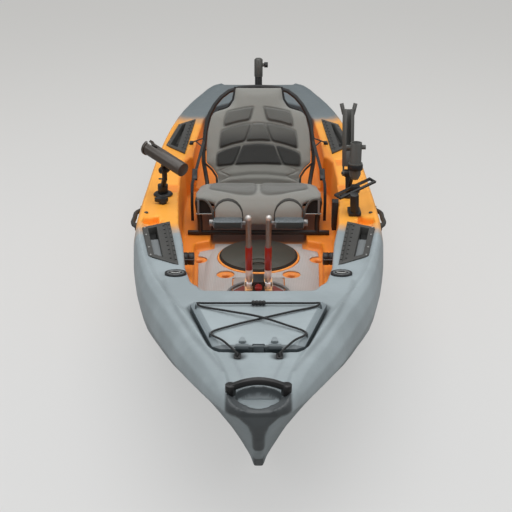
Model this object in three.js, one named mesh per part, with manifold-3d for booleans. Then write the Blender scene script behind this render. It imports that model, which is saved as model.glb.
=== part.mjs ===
// A sit-on-top fishing kayak driven by two push pedals that swing a pair of fins.
// Millimetres, +Z up, bow towards -Y, stern towards +Y. The origin is under the
// middle of the hull, on the surface that the kayak rests on.
import * as THREE from 'three';
import { mergeVertices } from 'three/addons/utils/BufferGeometryUtils.js';
import Module from 'manifold-3d';

const wasm = await Module();
wasm.setup();

// Driving dimensions of the hull
const length = 3470;
const beam = 920;
const depth = 460;
const hullWall = 5;
const hullTolerance = 0.05;
const floorHeight = 190;
const ledgeHeight = 228;
const cargoFloorHeight = 250;

// Clearances and shared settings
const gap = 0.3;
const overrun = 40;
const boltRadius = 4;

// The rudder hangs behind the hull, so the hull's middle lies forward of the origin
const rudderReach = 150;

const halfLength = length / 2;
const halfBeam = beam / 2;
const hullMiddle = -rudderReach / 2;
const along = (share) => share * halfLength + hullMiddle;
const abeam = (share) => share * halfBeam;
const raise = (share) => share * depth;

// Geometry helpers

function toSolid(geometry) {
  if (geometry instanceof wasm.Manifold) return geometry;
  const bare = geometry.clone();
  bare.deleteAttribute('normal');
  bare.deleteAttribute('uv');
  const merged = mergeVertices(bare, 1e-4);
  const { array } = merged.attributes.position;
  return new wasm.Manifold(new wasm.Mesh({
    numProp: 3,
    vertProperties: new Float32Array(array),
    triVerts: new Uint32Array(merged.index.array),
  }));
}

function toGeometry(solid) {
  const mesh = solid.getMesh();
  const geometry = new THREE.BufferGeometry();
  geometry.setAttribute('position', new THREE.BufferAttribute(mesh.vertProperties, 3));
  geometry.setIndex(new THREE.BufferAttribute(mesh.triVerts, 1));
  return geometry;
}

function join(first, ...others) {
  return others.reduce((sum, other) => sum.add(toSolid(other)), toSolid(first));
}

function cut(body, ...tools) {
  return tools.reduce((rest, tool) => rest.subtract(toSolid(tool)), toSolid(body));
}

function common(body, space) {
  return toSolid(body).intersect(toSolid(space));
}

// Turns the faces of a closed form outwards
function facingOut(geometry) {
  const indexed = geometry.index ? geometry : mergeVertices(geometry);
  if (toSolid(indexed).volume() > 0) return indexed;
  const { array } = indexed.index;
  for (let i = 0; i < array.length; i += 3) {
    [array[i + 1], array[i + 2]] = [array[i + 2], array[i + 1]];
  }
  return indexed;
}

function block([x0, x1], [y0, y1], [z0, z1]) {
  const geometry = new THREE.BoxGeometry(x1 - x0, y1 - y0, z1 - z0);
  return geometry.translate((x0 + x1) / 2, (y0 + y1) / 2, (z0 + z1) / 2);
}

function rod(from, to, radius, sides = 12, endRadius = radius) {
  const start = new THREE.Vector3(...from);
  const axis = new THREE.Vector3(...to).sub(start);
  const geometry = new THREE.CylinderGeometry(endRadius, radius, axis.length(), sides);
  const turn = new THREE.Quaternion().setFromUnitVectors(
    new THREE.Vector3(0, 1, 0), axis.clone().normalize());
  return geometry.applyQuaternion(turn).translate(...start.addScaledVector(axis, 0.5).toArray());
}

function spun(profile, sides) {
  const points = profile.map(([radius, z]) => new THREE.Vector2(radius, z));
  return facingOut(new THREE.LatheGeometry(points, sides).rotateX(Math.PI / 2));
}

function shapeOf(points) {
  return new THREE.Shape(points.map(([x, y]) => new THREE.Vector2(x, y)));
}

function upright(points, z0, z1) {
  const settings = { depth: z1 - z0, bevelEnabled: false };
  return new THREE.ExtrudeGeometry(shapeOf(points), settings).translate(0, 0, z0);
}

// An outline in the (Y, Z) plane, drawn out along X
function sideways(points, x0, x1) {
  const settings = { depth: x1 - x0, bevelEnabled: false };
  const geometry = new THREE.ExtrudeGeometry(shapeOf(points), settings);
  return facingOut(geometry.rotateY(Math.PI / 2).rotateX(Math.PI / 2).translate(x0, 0, 0));
}

function circleShape(radius, sides) {
  const turn = (2 * Math.PI) / sides;
  const corners = Array.from({ length: sides }, (_, i) => [
    radius * Math.cos(i * turn), radius * Math.sin(i * turn)]);
  return shapeOf(corners);
}

function tube(points, radius, { sides = 8, steps = 24, smooth = true } = {}) {
  const places = points.map((point) => new THREE.Vector3(...point));
  const path = smooth
    ? new THREE.CatmullRomCurve3(places, false, 'centripetal')
    : polyline(places);
  const settings = { steps, bevelEnabled: false, extrudePath: path };
  return facingOut(new THREE.ExtrudeGeometry(circleShape(radius, sides), settings));
}

function polyline(places) {
  const path = new THREE.CurvePath();
  places.slice(1).forEach((place, i) => path.add(new THREE.LineCurve3(places[i], place)));
  return path;
}

// A closed skin through rings that all have the same number of points
function loft(rings) {
  const count = rings[0].length;
  const positions = rings.flat(2);
  const faces = [];
  rings.slice(1).forEach((_, row) => {
    for (let i = 0; i < count; i += 1) {
      const next = (i + 1) % count;
      const [a, b] = [row * count + i, row * count + next];
      const [c, d] = [a + count, b + count];
      faces.push(a, b, d, a, d, c);
    }
  });
  const addCap = (ring, base, flip) => {
    const centre = ring.reduce((sum, p) => sum.map((v, k) => v + p[k] / count), [0, 0, 0]);
    const middle = positions.length / 3;
    positions.push(...centre);
    for (let i = 0; i < count; i += 1) {
      const pair = [base + i, base + ((i + 1) % count)];
      faces.push(middle, ...(flip ? pair.reverse() : pair));
    }
  };
  addCap(rings[0], 0, true);
  addCap(rings.at(-1), (rings.length - 1) * count, false);
  const geometry = new THREE.BufferGeometry();
  geometry.setAttribute('position', new THREE.Float32BufferAttribute(positions, 3));
  geometry.setIndex(faces);
  return facingOut(geometry);
}

// A half outline from the bow to the stern, completed on the other side
function mirrored(half) {
  const other = half.filter(([x]) => x > 0).reverse().map(([x, y]) => [-x, y]);
  return [...half, ...other];
}

function flip(points, side) {
  return side > 0 ? points : points.map(([x, ...rest]) => [-x, ...rest]).reverse();
}

// Moves each edge of an outline outwards by the same distance
function grown(points, distance) {
  const area = points.reduce((sum, [x, y], i) => {
    const [nx, ny] = points[(i + 1) % points.length];
    return sum + x * ny - nx * y;
  }, 0);
  const push = Math.sign(area) * distance;
  const normal = ([ax, ay], [bx, by]) => {
    const size = Math.hypot(bx - ax, by - ay);
    return [(by - ay) / size, (ax - bx) / size];
  };
  return points.map((point, i) => {
    const before = normal(points.at(i - 1), point);
    const after = normal(point, points[(i + 1) % points.length]);
    const scale = push / (1 + before[0] * after[0] + before[1] * after[1]);
    return [point[0] + scale * (before[0] + after[0]), point[1] + scale * (before[1] + after[1])];
  });
}

function ringAt(points, z) {
  return points.map(([x, y]) => [x, y, z]);
}

function roundedOutline([x, y], [width, depthY], radius, steps = 3) {
  const corners = [[1, 1], [-1, 1], [-1, -1], [1, -1]];
  return corners.flatMap(([sx, sy], corner) => Array.from({ length: steps + 1 }, (_, i) => {
    const angle = (corner + i / steps) * (Math.PI / 2);
    return [x + sx * (width / 2 - radius) + radius * Math.cos(angle),
      y + sy * (depthY / 2 - radius) + radius * Math.sin(angle)];
  }));
}

function ellipseOutline([x, y], [radiusX, radiusY], sides) {
  return Array.from({ length: sides }, (_, i) => {
    const angle = (i / sides) * 2 * Math.PI;
    return [x + radiusX * Math.cos(angle), y + radiusY * Math.sin(angle)];
  });
}

// A ring around an axis between two points, open through its middle
function sleeve(from, to, inner, outer, sides = 16) {
  return cut(rod(from, to, outer, sides), rod(
    beyond(to, from, overrun), beyond(from, to, overrun), inner, sides));
}

// The point past the second of two points by a distance
function beyond(first, second, distance) {
  const [a, b] = [new THREE.Vector3(...first), new THREE.Vector3(...second)];
  return b.clone().add(b.clone().sub(a).setLength(distance)).toArray();
}

// The point at a distance from the first of two points towards the second
function towards(from, to, distance) {
  const size = Math.hypot(to[0] - from[0], to[1] - from[1]);
  return from.map((value, i) => value + ((to[i] - value) * distance) / size);
}

function between(from, to, share) {
  return from.map((value, i) => value + (to[i] - value) * share);
}

const paints = {
  hull: [0x8f9ca0, 0.55, 0],
  mat: [0xa9a6a2, 0.85, 0],
  black: [0x1c1c1c, 0.5, 0],
  rubber: [0x2a2a29, 0.85, 0],
  fabric: [0x5f605d, 0.9, 0],
  silver: [0xb4b6b6, 0.3, 1],
  red: [0x8a2b25, 0.6, 0],
  tray: [0x5c5b57, 0.7, 0],
  rodGrey: [0x7c7c77, 0.6, 0],
  pedal: [0x6c7072, 0.8, 0],
};

const kayak = new THREE.Group();

function addPart(name, form, paint) {
  const [color, roughness, metalness] = paints[paint];
  const finished = toGeometry(toSolid(form));
  finished.computeVertexNormals();
  const material = new THREE.MeshStandardMaterial({ color, roughness, metalness });
  const mesh = new THREE.Mesh(finished, material);
  mesh.name = name;
  kayak.add(mesh);
}

// Hull form. Each row gives, as shares: the place along the half length, the half
// beam, the heights of the keel and of the widest line, the ridge's place across
// the half beam there, the ridge's height, the bottom's fullness and the keel's
// half width.
const hullShares = [
  [-1.000, 0.096, 0.870, 0.935, 0.80, 0.983, 1.00, 0.022],
  [-0.990, 0.157, 0.761, 0.926, 0.80, 0.991, 0.90, 0.022],
  [-0.968, 0.204, 0.620, 0.909, 0.78, 1.000, 0.85, 0.024],
  [-0.934, 0.270, 0.474, 0.880, 0.62, 1.000, 0.80, 0.024],
  [-0.878, 0.370, 0.304, 0.848, 0.60, 1.000, 0.80, 0.026],
  [-0.818, 0.470, 0.178, 0.815, 0.66, 0.998, 0.88, 0.028],
  [-0.749, 0.570, 0.087, 0.787, 0.71, 0.991, 1.00, 0.035],
  [-0.663, 0.687, 0.030, 0.761, 0.79, 0.980, 1.25, 0.052],
  [-0.565, 0.800, 0.007, 0.739, 0.87, 0.963, 1.60, 0.098],
  [-0.450, 0.887, 0.000, 0.722, 0.92, 0.948, 2.00, 0.174],
  [-0.311, 0.961, 0.000, 0.700, 0.95, 0.935, 2.40, 0.261],
  [-0.144, 0.993, 0.000, 0.687, 0.95, 0.900, 2.70, 0.326],
  [0.000, 1.000, 0.000, 0.678, 0.95, 0.880, 2.80, 0.348],
  [0.202, 0.998, 0.000, 0.678, 0.95, 0.880, 2.80, 0.348],
  [0.392, 0.972, 0.000, 0.683, 0.95, 0.887, 2.60, 0.326],
  [0.594, 0.911, 0.009, 0.691, 0.94, 0.896, 2.40, 0.283],
  [0.749, 0.820, 0.039, 0.707, 0.92, 0.904, 2.20, 0.239],
  [0.865, 0.715, 0.104, 0.728, 0.90, 0.909, 2.00, 0.196],
  [0.957, 0.618, 0.191, 0.728, 0.88, 0.913, 2.00, 0.152],
  [1.000, 0.522, 0.283, 0.750, 0.86, 0.904, 2.00, 0.120],
];
const bottomSteps = 5;
const shoulderSteps = 3;
const ridgeLipShare = 0.06;
const deckDip = 12;

// Smooth value of one column of the hull's rows at a place along the hull
function hullShare(column, place) {
  const last = hullShares.length - 2;
  const found = hullShares.findIndex(([share]) => share > place) - 1;
  const row = Math.max(0, found < -1 ? last : found);
  const rows = [row - 1, row, row + 1, row + 2].map(
    (i) => hullShares[THREE.MathUtils.clamp(i, 0, last + 1)]);
  const [start, end] = [rows[1][0], rows[2][0]];
  const t = THREE.MathUtils.clamp((place - start) / (end - start), 0, 1);
  const slope = (a, b) => (b[0] === a[0] ? 0 : (b[column] - a[column]) / (b[0] - a[0]));
  const m0 = ((slope(rows[0], rows[1]) || slope(rows[1], rows[2])) + slope(rows[1], rows[2])) / 2;
  const m1 = (slope(rows[1], rows[2]) + (slope(rows[2], rows[3]) || slope(rows[1], rows[2]))) / 2;
  const span = end - start;
  const h00 = (1 + 2 * t) * (1 - t) ** 2;
  const h01 = t ** 2 * (3 - 2 * t);
  return h00 * rows[1][column] + t * (1 - t) ** 2 * span * m0
    + h01 * rows[2][column] + t ** 2 * (t - 1) * span * m1;
}

function hullAt(y) {
  const place = (y - hullMiddle) / halfLength;
  const half = abeam(hullShare(1, place));
  return {
    half,
    keel: Math.max(0, raise(hullShare(2, place))),
    widest: raise(hullShare(3, place)),
    ridge: half * hullShare(4, place),
    top: raise(hullShare(5, place)),
    fullness: hullShare(6, place),
    keelHalf: abeam(hullShare(7, place)),
  };
}

function deckHeightAt(y) {
  return hullAt(y).top - deckDip;
}

function hullSection(y, inset) {
  const hull = hullAt(y);
  const half = hull.half - inset;
  const keel = hull.keel + inset;
  const ridge = Math.min(hull.ridge, half - inset);
  const top = hull.top - inset;
  const keelHalf = Math.min(hull.keelHalf, half / 2);
  const points = [[0, keel]];
  for (let i = 0; i <= bottomSteps; i += 1) {
    const angle = (i / bottomSteps) * (Math.PI / 2);
    const power = 2 / hull.fullness;
    points.push([
      keelHalf + (half - keelHalf) * Math.sin(angle) ** power,
      keel + (hull.widest - keel) * (1 - Math.cos(angle) ** power),
    ]);
  }
  for (let i = 1; i <= shoulderSteps; i += 1) {
    const angle = (i / shoulderSteps) * (Math.PI / 2);
    points.push([
      ridge + (half - ridge) * Math.cos(angle),
      hull.widest + (top - hull.widest) * Math.sin(angle),
    ]);
  }
  points.push([ridge * (1 - ridgeLipShare), top - deckDip * 0.8]);
  points.push([0, top - deckDip]);
  const left = points.slice(1, -1).reverse().map(([x, z]) => [-x, z]);
  return [...points, ...left].map(([x, z]) => [x, y, z]);
}

function hullBody(inset) {
  const places = hullShares.flatMap(([share], i) => {
    const next = hullShares[i + 1];
    return next ? [share, (share + next[0]) / 2] : [share];
  });
  const ends = [along(-1) + inset, along(1) - inset];
  const stations = places.map((share) => THREE.MathUtils.clamp(along(share), ...ends));
  const distinct = stations.filter((y, i) => i === 0 || y - stations[i - 1] > hullWall);
  return loft(distinct.map((y) => hullSection(y, inset)));
}

// Outlines of the cockpit and the cargo well: shares of the half beam and half length
const cockpitShares = [
  [0, -0.614], [0.370, -0.612], [0.461, -0.568], [0.517, -0.501], [0.570, -0.369],
  [0.635, -0.259], [0.691, -0.073], [0.713, 0.058], [0.713, 0.190], [0.660, 0.236], [0, 0.236],
];
const footwellShares = [
  [0, -0.600], [0.326, -0.597], [0.424, -0.553], [0.483, -0.496], [0.530, -0.290],
  [0.560, -0.130], [0.548, -0.106], [0.430, -0.090], [0.425, 0.100], [0.420, 0.190], [0, 0.190],
];
const cargoShares = [
  [0, 0.190], [0.640, 0.190], [0.635, 0.403], [0.609, 0.576], [0.522, 0.720],
  [0.326, 0.775], [0, 0.778],
];
const wallLean = 14;
const outlineOf = (shares) => mirrored(shares.map(([x, y]) => [abeam(x), along(y)]));
const above = depth + overrun;

function well(shares, bottom, lean, grow) {
  const upper = grown(outlineOf(shares), grow);
  const lower = grown(outlineOf(shares), grow - lean);
  return loft([ringAt(lower, bottom - grow), ringAt(upper, above)]);
}

// Drive well and the pocket in which the fins lie when they are folded back
const driveY = along(-0.325);
const driveWellHalf = 80;
const driveWellLength = 216;
const driveFlareHalf = 138;
const driveFlareHeight = 72;
const finSpacing = 50;
const finSweep = 57;
const finAxisHeight = 56;
const finPocketLength = 430;
const finPocketStart = driveY + driveWellLength / 2;

function driveWell(grow) {
  const reach = driveWellLength / 2 + grow;
  const span = [driveY - reach, driveY + reach];
  const [half, flare] = [driveWellHalf + grow, driveFlareHalf + grow];
  const section = mirrored([[half, driveFlareHeight + grow], [flare, grow], [flare, -overrun]]);
  const flared = loft(span.map((y) => section.map(([x, z]) => [x, y, z])));
  return join(block([-half, half], span, [-overrun, floorHeight + overrun]), flared);
}

function finPocket(grow) {
  const radius = finSweep + grow;
  const start = finPocketStart - overrun - grow;
  const end = finPocketStart + finPocketLength + grow;
  const bores = [-1, 1].map((side) => rod([side * finSpacing, start, finAxisHeight],
    [side * finSpacing, end, finAxisHeight], radius, 16));
  const reach = finSpacing + radius * Math.cos(Math.PI / 16);
  const mouth = block([-reach, reach], [start, end], [-overrun, finAxisHeight]);
  return join(mouth, ...bores);
}

// Trays let into the side decks: corners as shares of the half beam and half length
const trayPlate = 8;
const trayPocketDepth = 52;
const traySeatMargin = 2;
const trayRim = 16;
const trackWidth = 34;
const trayShares = {
  front: [[0.887, -0.305], [0.687, -0.272], [0.556, -0.490], [0.783, -0.448]],
  rear: [[0.915, 0.320], [0.713, 0.250], [0.683, 0.575], [0.850, 0.520]],
};
const trayCorners = (end, side) => flip(
  trayShares[end].map(([x, y]) => [abeam(x), along(y)]), side);
const trayTop = {
  front: deckHeightAt(along(-0.39)) + trayPlate,
  rear: deckHeightAt(along(0.42)) + trayPlate,
};

// The pocket part of a tray, outboard of its track
function trayPocketOutline(end, side, margin) {
  const [outerA, innerA, innerB, outerB] = trayShares[end].map(([x, y]) => [abeam(x), along(y)]);
  const outline = [outerA, towards(innerA, outerA, trackWidth),
    towards(innerB, outerB, trackWidth), outerB];
  return flip(grown(outline, -margin), side);
}

function trayRecess(end, side, grow) {
  const seat = upright(grown(trayCorners(end, side), traySeatMargin + grow),
    trayTop[end] - trayPlate - gap - grow, above);
  const pocket = upright(grown(trayPocketOutline(end, side, trayRim), traySeatMargin + grow),
    trayTop[end] - trayPlate - trayPocketDepth - gap - grow, above);
  return join(seat, pocket);
}

// Bow hatch: a raised lid over a mouth, hinged at its bow edge
const lidShares = [
  [0, -0.834], [0.215, -0.834], [0.265, -0.826], [0.425, -0.684], [0.400, -0.672], [0, -0.664],
];
const lidOutline = mirrored(lidShares.map(([x, y]) => [abeam(x), along(y)]));
const lidMiddleY = along(-0.75);
const lidSeatHeight = deckHeightAt(lidMiddleY) - 14;
const lidMargin = 8;
const hatchLip = 34;

function bowHatchSeat(grow) {
  return upright(grown(lidOutline, lidMargin + grow), lidSeatHeight - grow, above);
}

function bowHatchMouth() {
  const corners = [lidShares[0], [lidShares[1][0], lidShares[0][1]],
    [lidShares[4][0], lidShares[5][1]], lidShares[5]];
  const outline = mirrored(corners.map(([x, y]) => [abeam(x), along(y)]));
  return upright(grown(outline, -hatchLip), lidSeatHeight - hullWall - overrun, above);
}

// Round floor hatch
const floorHatchY = along(-0.144);
const floorHatchRadius = 148;
const hatchMouthRadius = 128;
const hatchRimStep = 12;

function floorHatchMouth() {
  return rod([0, floorHatchY, finAxisHeight + finSweep + hullWall + hullWall],
    [0, floorHatchY, floorHeight + overrun], hatchMouthRadius, 32);
}

// Scuppers drain the footwell through the hull
const scupperRadius = 14;
const scupperShares = [[0.267, -0.238], [0.500, -0.160]];

function scuppers(grow) {
  return scupperShares.flatMap(([x, y]) => [-1, 1].map((side) => rod(
    [side * abeam(x), along(y), -overrun], [side * abeam(x), along(y), floorHeight + overrun],
    scupperRadius + grow, 12)));
}

// Recess under the bow handle and hand recesses in the side decks
const bowHandleY = along(-0.960);
const bowRecessLength = 96;
const bowRecessHalf = 56;
const bowRecessDepth = 26;
const deckRecessShares = [[0.905, -0.268], [0.905, -0.235], [0.800, -0.206], [0.775, -0.262]];
const leverPlace = [abeam(-0.792), along(-0.126)];
const leverStem = 7;
const deckRecessDepth = 26;

function bowRecess(grow) {
  const outline = circleShape(1, 20).getPoints().map(({ x, y }) => [
    x * (bowRecessHalf + grow), bowHandleY + y * (bowRecessLength / 2 + grow)]);
  return upright(outline, deckHeightAt(bowHandleY) - bowRecessDepth - grow, above);
}

function deckRecesses(grow) {
  const outline = deckRecessShares.map(([x, y]) => [abeam(x), along(y)]);
  const bottom = deckHeightAt(along(-0.15)) - deckRecessDepth;
  return [-1, 1].map((side) => upright(grown(flip(outline, side), grow), bottom - grow, above));
}

function hullCutters(grow) {
  return [
    well(footwellShares, floorHeight, wallLean / 2, grow),
    well(cockpitShares, ledgeHeight, wallLean, grow),
    well(cargoShares, cargoFloorHeight, wallLean, grow),
    driveWell(grow),
    finPocket(grow),
    ...['front', 'rear'].flatMap((end) => [-1, 1].map((side) => trayRecess(end, side, grow))),
    bowHatchSeat(grow),
    bowRecess(grow),
    ...deckRecesses(grow),
    ...scuppers(grow),
  ];
}

function makeHull() {
  const cavity = cut(hullBody(hullWall), ...hullCutters(hullWall));
  const shell = cut(hullBody(0), ...hullCutters(0), cavity);
  const steeringHole = rod([...leverPlace, raise(0.80)], [...leverPlace, above],
    leverStem + gap, 14);
  return cut(shell, bowHatchMouth(), floorHatchMouth(), steeringHole).simplify(hullTolerance);
}

const hullSkin = hullBody(-gap);
const sides = [['left', -1], ['right', 1]];

addPart('hull', makeHull(), 'hull');

// Foam floor mat with holes for the hatch, the drive and the scuppers
const matThickness = 5;
const matMargin = 24;
const matEndShare = -0.055;
const hatchRimRadius = 160;
const scupperRing = 34;
const driveFlangeHalf = 92;
const driveFlangeReach = driveWellLength / 2 + 10;
const mat = {
  bottom: floorHeight + gap,
  top: floorHeight + gap + matThickness,
  shares: [...footwellShares.slice(0, 8), [footwellShares[7][0], matEndShare], [0, matEndShare]],
};

function makeFloorMat() {
  const outline = grown(outlineOf(mat.shares), -matMargin);
  const low = floorHeight - overrun;
  const high = floorHeight + overrun;
  const holes = scupperShares.flatMap(([x, y]) => [-1, 1].map((side) => rod(
    [side * abeam(x), along(y), low], [side * abeam(x), along(y), high], scupperRing, 16)));
  return cut(
    upright(outline, mat.bottom, mat.top),
    rod([0, floorHatchY, low], [0, floorHatchY, high], hatchRimRadius + 1, 32),
    block([-driveFlangeHalf - 4, driveFlangeHalf + 4],
      [driveY - driveFlangeReach - 4, driveY + driveFlangeReach + 4], [low, high]),
    ...holes,
  );
}

addPart('floor_mat', makeFloorMat(), 'mat');

// Round floor hatch: a rim pressed into the floor and a lid that twists shut
const hatchRimHeight = 8;
const hatchSpigot = 14;
const hatchLidRadius = 145;
const hatchLidThickness = 9;
const hatchDishRadius = 46;
const hatchDishDepth = 5;
const hatchGripHalf = 20;
const hatchGripRadius = 4;

function makeHatchRim() {
  const inner = hatchMouthRadius - 8;
  const spigot = hatchMouthRadius - 1;
  const top = floorHeight + gap + hatchRimHeight;
  return spun([
    [inner, floorHeight - hatchSpigot], [spigot, floorHeight - hatchSpigot],
    [spigot, floorHeight + gap], [hatchRimRadius, floorHeight + gap],
    [hatchRimRadius - 2, top], [inner, top], [inner, floorHeight - hatchSpigot],
  ], 32).translate(0, floorHatchY, 0);
}

function makeHatchLid() {
  const bottom = floorHeight + hatchRimHeight + 2 * gap;
  const top = bottom + hatchLidThickness;
  const disc = rod([0, floorHatchY, bottom], [0, floorHatchY, top], hatchLidRadius, 32);
  const dishY = floorHatchY - hatchLidRadius + hatchDishRadius + 12;
  const dish = rod([0, dishY, top - hatchDishDepth], [0, dishY, top + overrun], hatchDishRadius, 20);
  const grip = tube([
    [-hatchGripHalf, dishY, top - hatchDishDepth - 1], [-hatchGripHalf, dishY, top],
    [0, dishY, top + hatchGripRadius], [hatchGripHalf, dishY, top],
    [hatchGripHalf, dishY, top - hatchDishDepth - 1],
  ], hatchGripRadius, { sides: 6, steps: 10 });
  return join(cut(disc, dish), grip);
}

addPart('hatch_rim', makeHatchRim(), 'black');
addPart('hatch_lid', makeHatchLid(), 'rubber');

// Bow hatch: seal, raised lid, hinge, and the shock cord laced over it
const lidWall = 5;
const sealInset = 14;
const sealWidth = 9;
const sealHeight = 6;
const lidRise = 22;
const lidBevel = 14;
const lidBottom = lidSeatHeight + sealHeight + 2 * gap;
const lidTop = lidBottom + lidRise;
const lidFront = along(lidShares[0][1]);
const lidHinge = { y: lidFront + 3, z: lidTop + 1, knuckle: 9, pin: 3.5, from: 26, to: 60 };
const lidHingeFoot = 14;
const eyeShares = { aft: [0.385, -0.699], middle: [0.283, -0.796], front: [0.118, -0.853] };
const eyeAt = (name, side) => [side * abeam(eyeShares[name][0]), along(eyeShares[name][1])];
const eyeRadius = 7;
const eyeWire = 2.5;
const shockCordRadius = 3;

const lacingLift = shockCordRadius + gap;
const toggleRadius = 8;
const toggleHalf = 20;
const lacingHigh = lidTop + toggleRadius + gap;
const lacingLow = lidTop + lacingLift + eyeWire;
const lacingDeck = deckHeightAt(along(eyeShares.front[1])) + eyeRadius;
const shockCordRoute = [
  [-52, -1555, lacingDeck], [-92, -1508, lacingLow + 4], [-127, -1456, lacingLow],
  [-70, -1412, lacingLow], [0, -1375, lacingLow], [90, -1330, lacingLow],
  [168, -1291, lacingLow], [174, -1283, lacingLow + 4], [160, -1281, lacingHigh],
  [100, -1281, lacingHigh], [0, -1281, lacingHigh], [-100, -1281, lacingHigh],
  [-160, -1281, lacingHigh], [-174, -1283, lacingLow + 4], [-168, -1291, lacingLow],
  [-90, -1330, lacingLow + 3], [0, -1375, lacingLow + 8], [70, -1412, lacingLow + 3],
  [127, -1456, lacingLow], [92, -1508, lacingLow + 4], [52, -1555, lacingDeck],
];

function shockCord(grow) {
  return tube(shockCordRoute, shockCordRadius + grow, { sides: 5, steps: 60 });
}

function makeSeal() {
  const outer = upright(grown(lidOutline, -sealInset), lidSeatHeight + gap, lidBottom - gap);
  const inner = upright(grown(lidOutline, -sealInset - sealWidth),
    lidSeatHeight - overrun, lidBottom + overrun);
  return cut(outer, inner);
}

function eyeLoop([x, y], base) {
  const arch = Array.from({ length: 5 }, (_, i) => {
    const angle = (i / 4) * Math.PI;
    return [x, y + eyeRadius * Math.cos(angle), base + (eyeRadius + 2) * Math.sin(angle)];
  });
  return tube([[x, y + eyeRadius, base - 3], ...arch, [x, y - eyeRadius, base - 3]],
    eyeWire, { sides: 5, steps: 7 });
}

function makeBowLid() {
  const seatOutline = lidOutline;
  const body = loft([
    ringAt(seatOutline, lidBottom),
    ringAt(seatOutline, lidTop - lidBevel / 2),
    ringAt(grown(seatOutline, -lidBevel), lidTop),
  ]);
  const rim = sealInset + sealWidth + 2;
  const hollow = loft([
    ringAt(grown(lidOutline, -rim), lidBottom - overrun),
    ringAt(grown(lidOutline, -rim), lidTop - lidWall),
  ]);
  const knuckles = [-1, 1].map((side) => rod(
    [side * lidHinge.from, lidHinge.y, lidHinge.z - 4], [side * lidHinge.to, lidHinge.y, lidHinge.z - 4],
    lidHinge.knuckle, 12));
  const foot = lidHingeFoot + 2;
  const eyes = ['aft', 'middle'].flatMap((name) => [-1, 1].map(
    (side) => eyeLoop(eyeAt(name, side), lidTop)));
  const notch = block([-foot, foot], [lidFront - overrun, lidHinge.y + lidHinge.knuckle + 4],
    [lidBottom - overrun, above]);
  const pinHole = rod([-lidHinge.to - 4, lidHinge.y, lidHinge.z - 4],
    [lidHinge.to + 4, lidHinge.y, lidHinge.z - 4], lidHinge.pin + gap, 12);
  return cut(join(cut(body, hollow), ...knuckles, ...eyes), notch, pinHole, shockCord(gap));
}

function makeLidHinge() {
  const z = lidHinge.z - 4;
  return join(
    block([-lidHingeFoot, lidHingeFoot], [lidHinge.y - 5, lidHinge.y + 5], [lidSeatHeight + gap, z + 5]),
    rod([-lidHinge.to, lidHinge.y, z], [lidHinge.to, lidHinge.y, z], lidHinge.pin, 12),
  );
}

function makeToggle() {
  const y = shockCordRoute[10][1];
  const ribs = Array.from({ length: 4 }, (_, i) => {
    const x = -toggleHalf + (2 * toggleHalf * (i + 0.5)) / 4;
    return rod([x - 3, y, lacingHigh + gap], [x + 3, y, lacingHigh + gap], toggleRadius, 8);
  });
  const core = rod([-toggleHalf, y, lacingHigh + gap], [toggleHalf, y, lacingHigh + gap],
    toggleRadius - 1.5, 8);
  return cut(join(core, ...ribs), shockCord(gap));
}

addPart('bow_hatch_seal', makeSeal(), 'rubber');
addPart('bow_hatch_lid', makeBowLid(), 'hull');
addPart('bow_hatch_hinge', makeLidHinge(), 'black');
addPart('bow_shock_cord', shockCord(0), 'rubber');
addPart('bow_cord_toggle', makeToggle(), 'black');
sides.forEach(([name, side]) => {
  const [x, y] = eyeAt('front', side);
  const base = deckHeightAt(y) + gap;
  const plate = upright(roundedOutline([x, y], [18, 30], 6), base - 6, base + 3);
  const eye = join(plate, eyeLoop([x, y], base + 2));
  addPart(`pad_eye_${name}`, cut(eye, hullSkin, shockCord(gap)), 'black');
});

// Bow carry handle
const bowGripHalf = 67;
const bowGripRise = 26;
const bowGripRadius = 10;
const bowFootRadius = 13;
const bowFootHeight = 16;

function makeBowHandle() {
  const deck = raise(hullShare(5, (bowHandleY - hullMiddle) / halfLength));
  const grip = tube([
    [-bowGripHalf, bowHandleY, deck + bowFootHeight / 2],
    [-bowGripHalf / 2, bowHandleY, deck + bowGripRise * 0.8],
    [0, bowHandleY, deck + bowGripRise],
    [bowGripHalf / 2, bowHandleY, deck + bowGripRise * 0.8],
    [bowGripHalf, bowHandleY, deck + bowFootHeight / 2],
  ], bowGripRadius, { sides: 8, steps: 10 });
  const feet = [-1, 1].map((side) => rod([side * bowGripHalf, bowHandleY, deck - bowFootHeight],
    [side * bowGripHalf, bowHandleY, deck + bowFootHeight], bowFootRadius, 12));
  return cut(join(grip, ...feet), hullSkin);
}

addPart('bow_handle', makeBowHandle(), 'black');

// Side carry handles
const sideHandleY = along(-0.120);
const sideHandleHalf = 92;
const sideHandleOut = 28;
const sideHandleRadius = 9;
const sideHandleFoot = 15;
const sideHandleHeight = raise(0.74);

function makeSideHandle(side) {
  const skin = hullAt(sideHandleY).half;
  const [x0, x1] = [side * (skin - 22), side * (skin + sideHandleOut - sideHandleRadius)];
  const z = sideHandleHeight;
  const grip = tube([
    [x0, sideHandleY - sideHandleHalf, z], [side * skin, sideHandleY - sideHandleHalf, z],
    [x1, sideHandleY - sideHandleHalf * 0.6, z], [x1, sideHandleY, z],
    [x1, sideHandleY + sideHandleHalf * 0.6, z],
    [side * skin, sideHandleY + sideHandleHalf, z], [x0, sideHandleY + sideHandleHalf, z],
  ], sideHandleRadius, { sides: 6, steps: 10 });
  const feet = [-1, 1].map((end) => {
    const y = sideHandleY + end * sideHandleHalf;
    return rod([x0, y, z], [side * (skin + 6), y, z], sideHandleFoot, 12);
  });
  return cut(join(grip, ...feet), hullSkin);
}

sides.forEach(([name, side]) => addPart(`side_handle_${name}`, makeSideHandle(side), 'rubber'));

// Deck trays with a gear track along their inner edge
const trayWall = 3;
const trayShelf = 30;
const trackSlot = 11;
const trackInset = 12;
const trackSlotDepth = 4;

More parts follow.
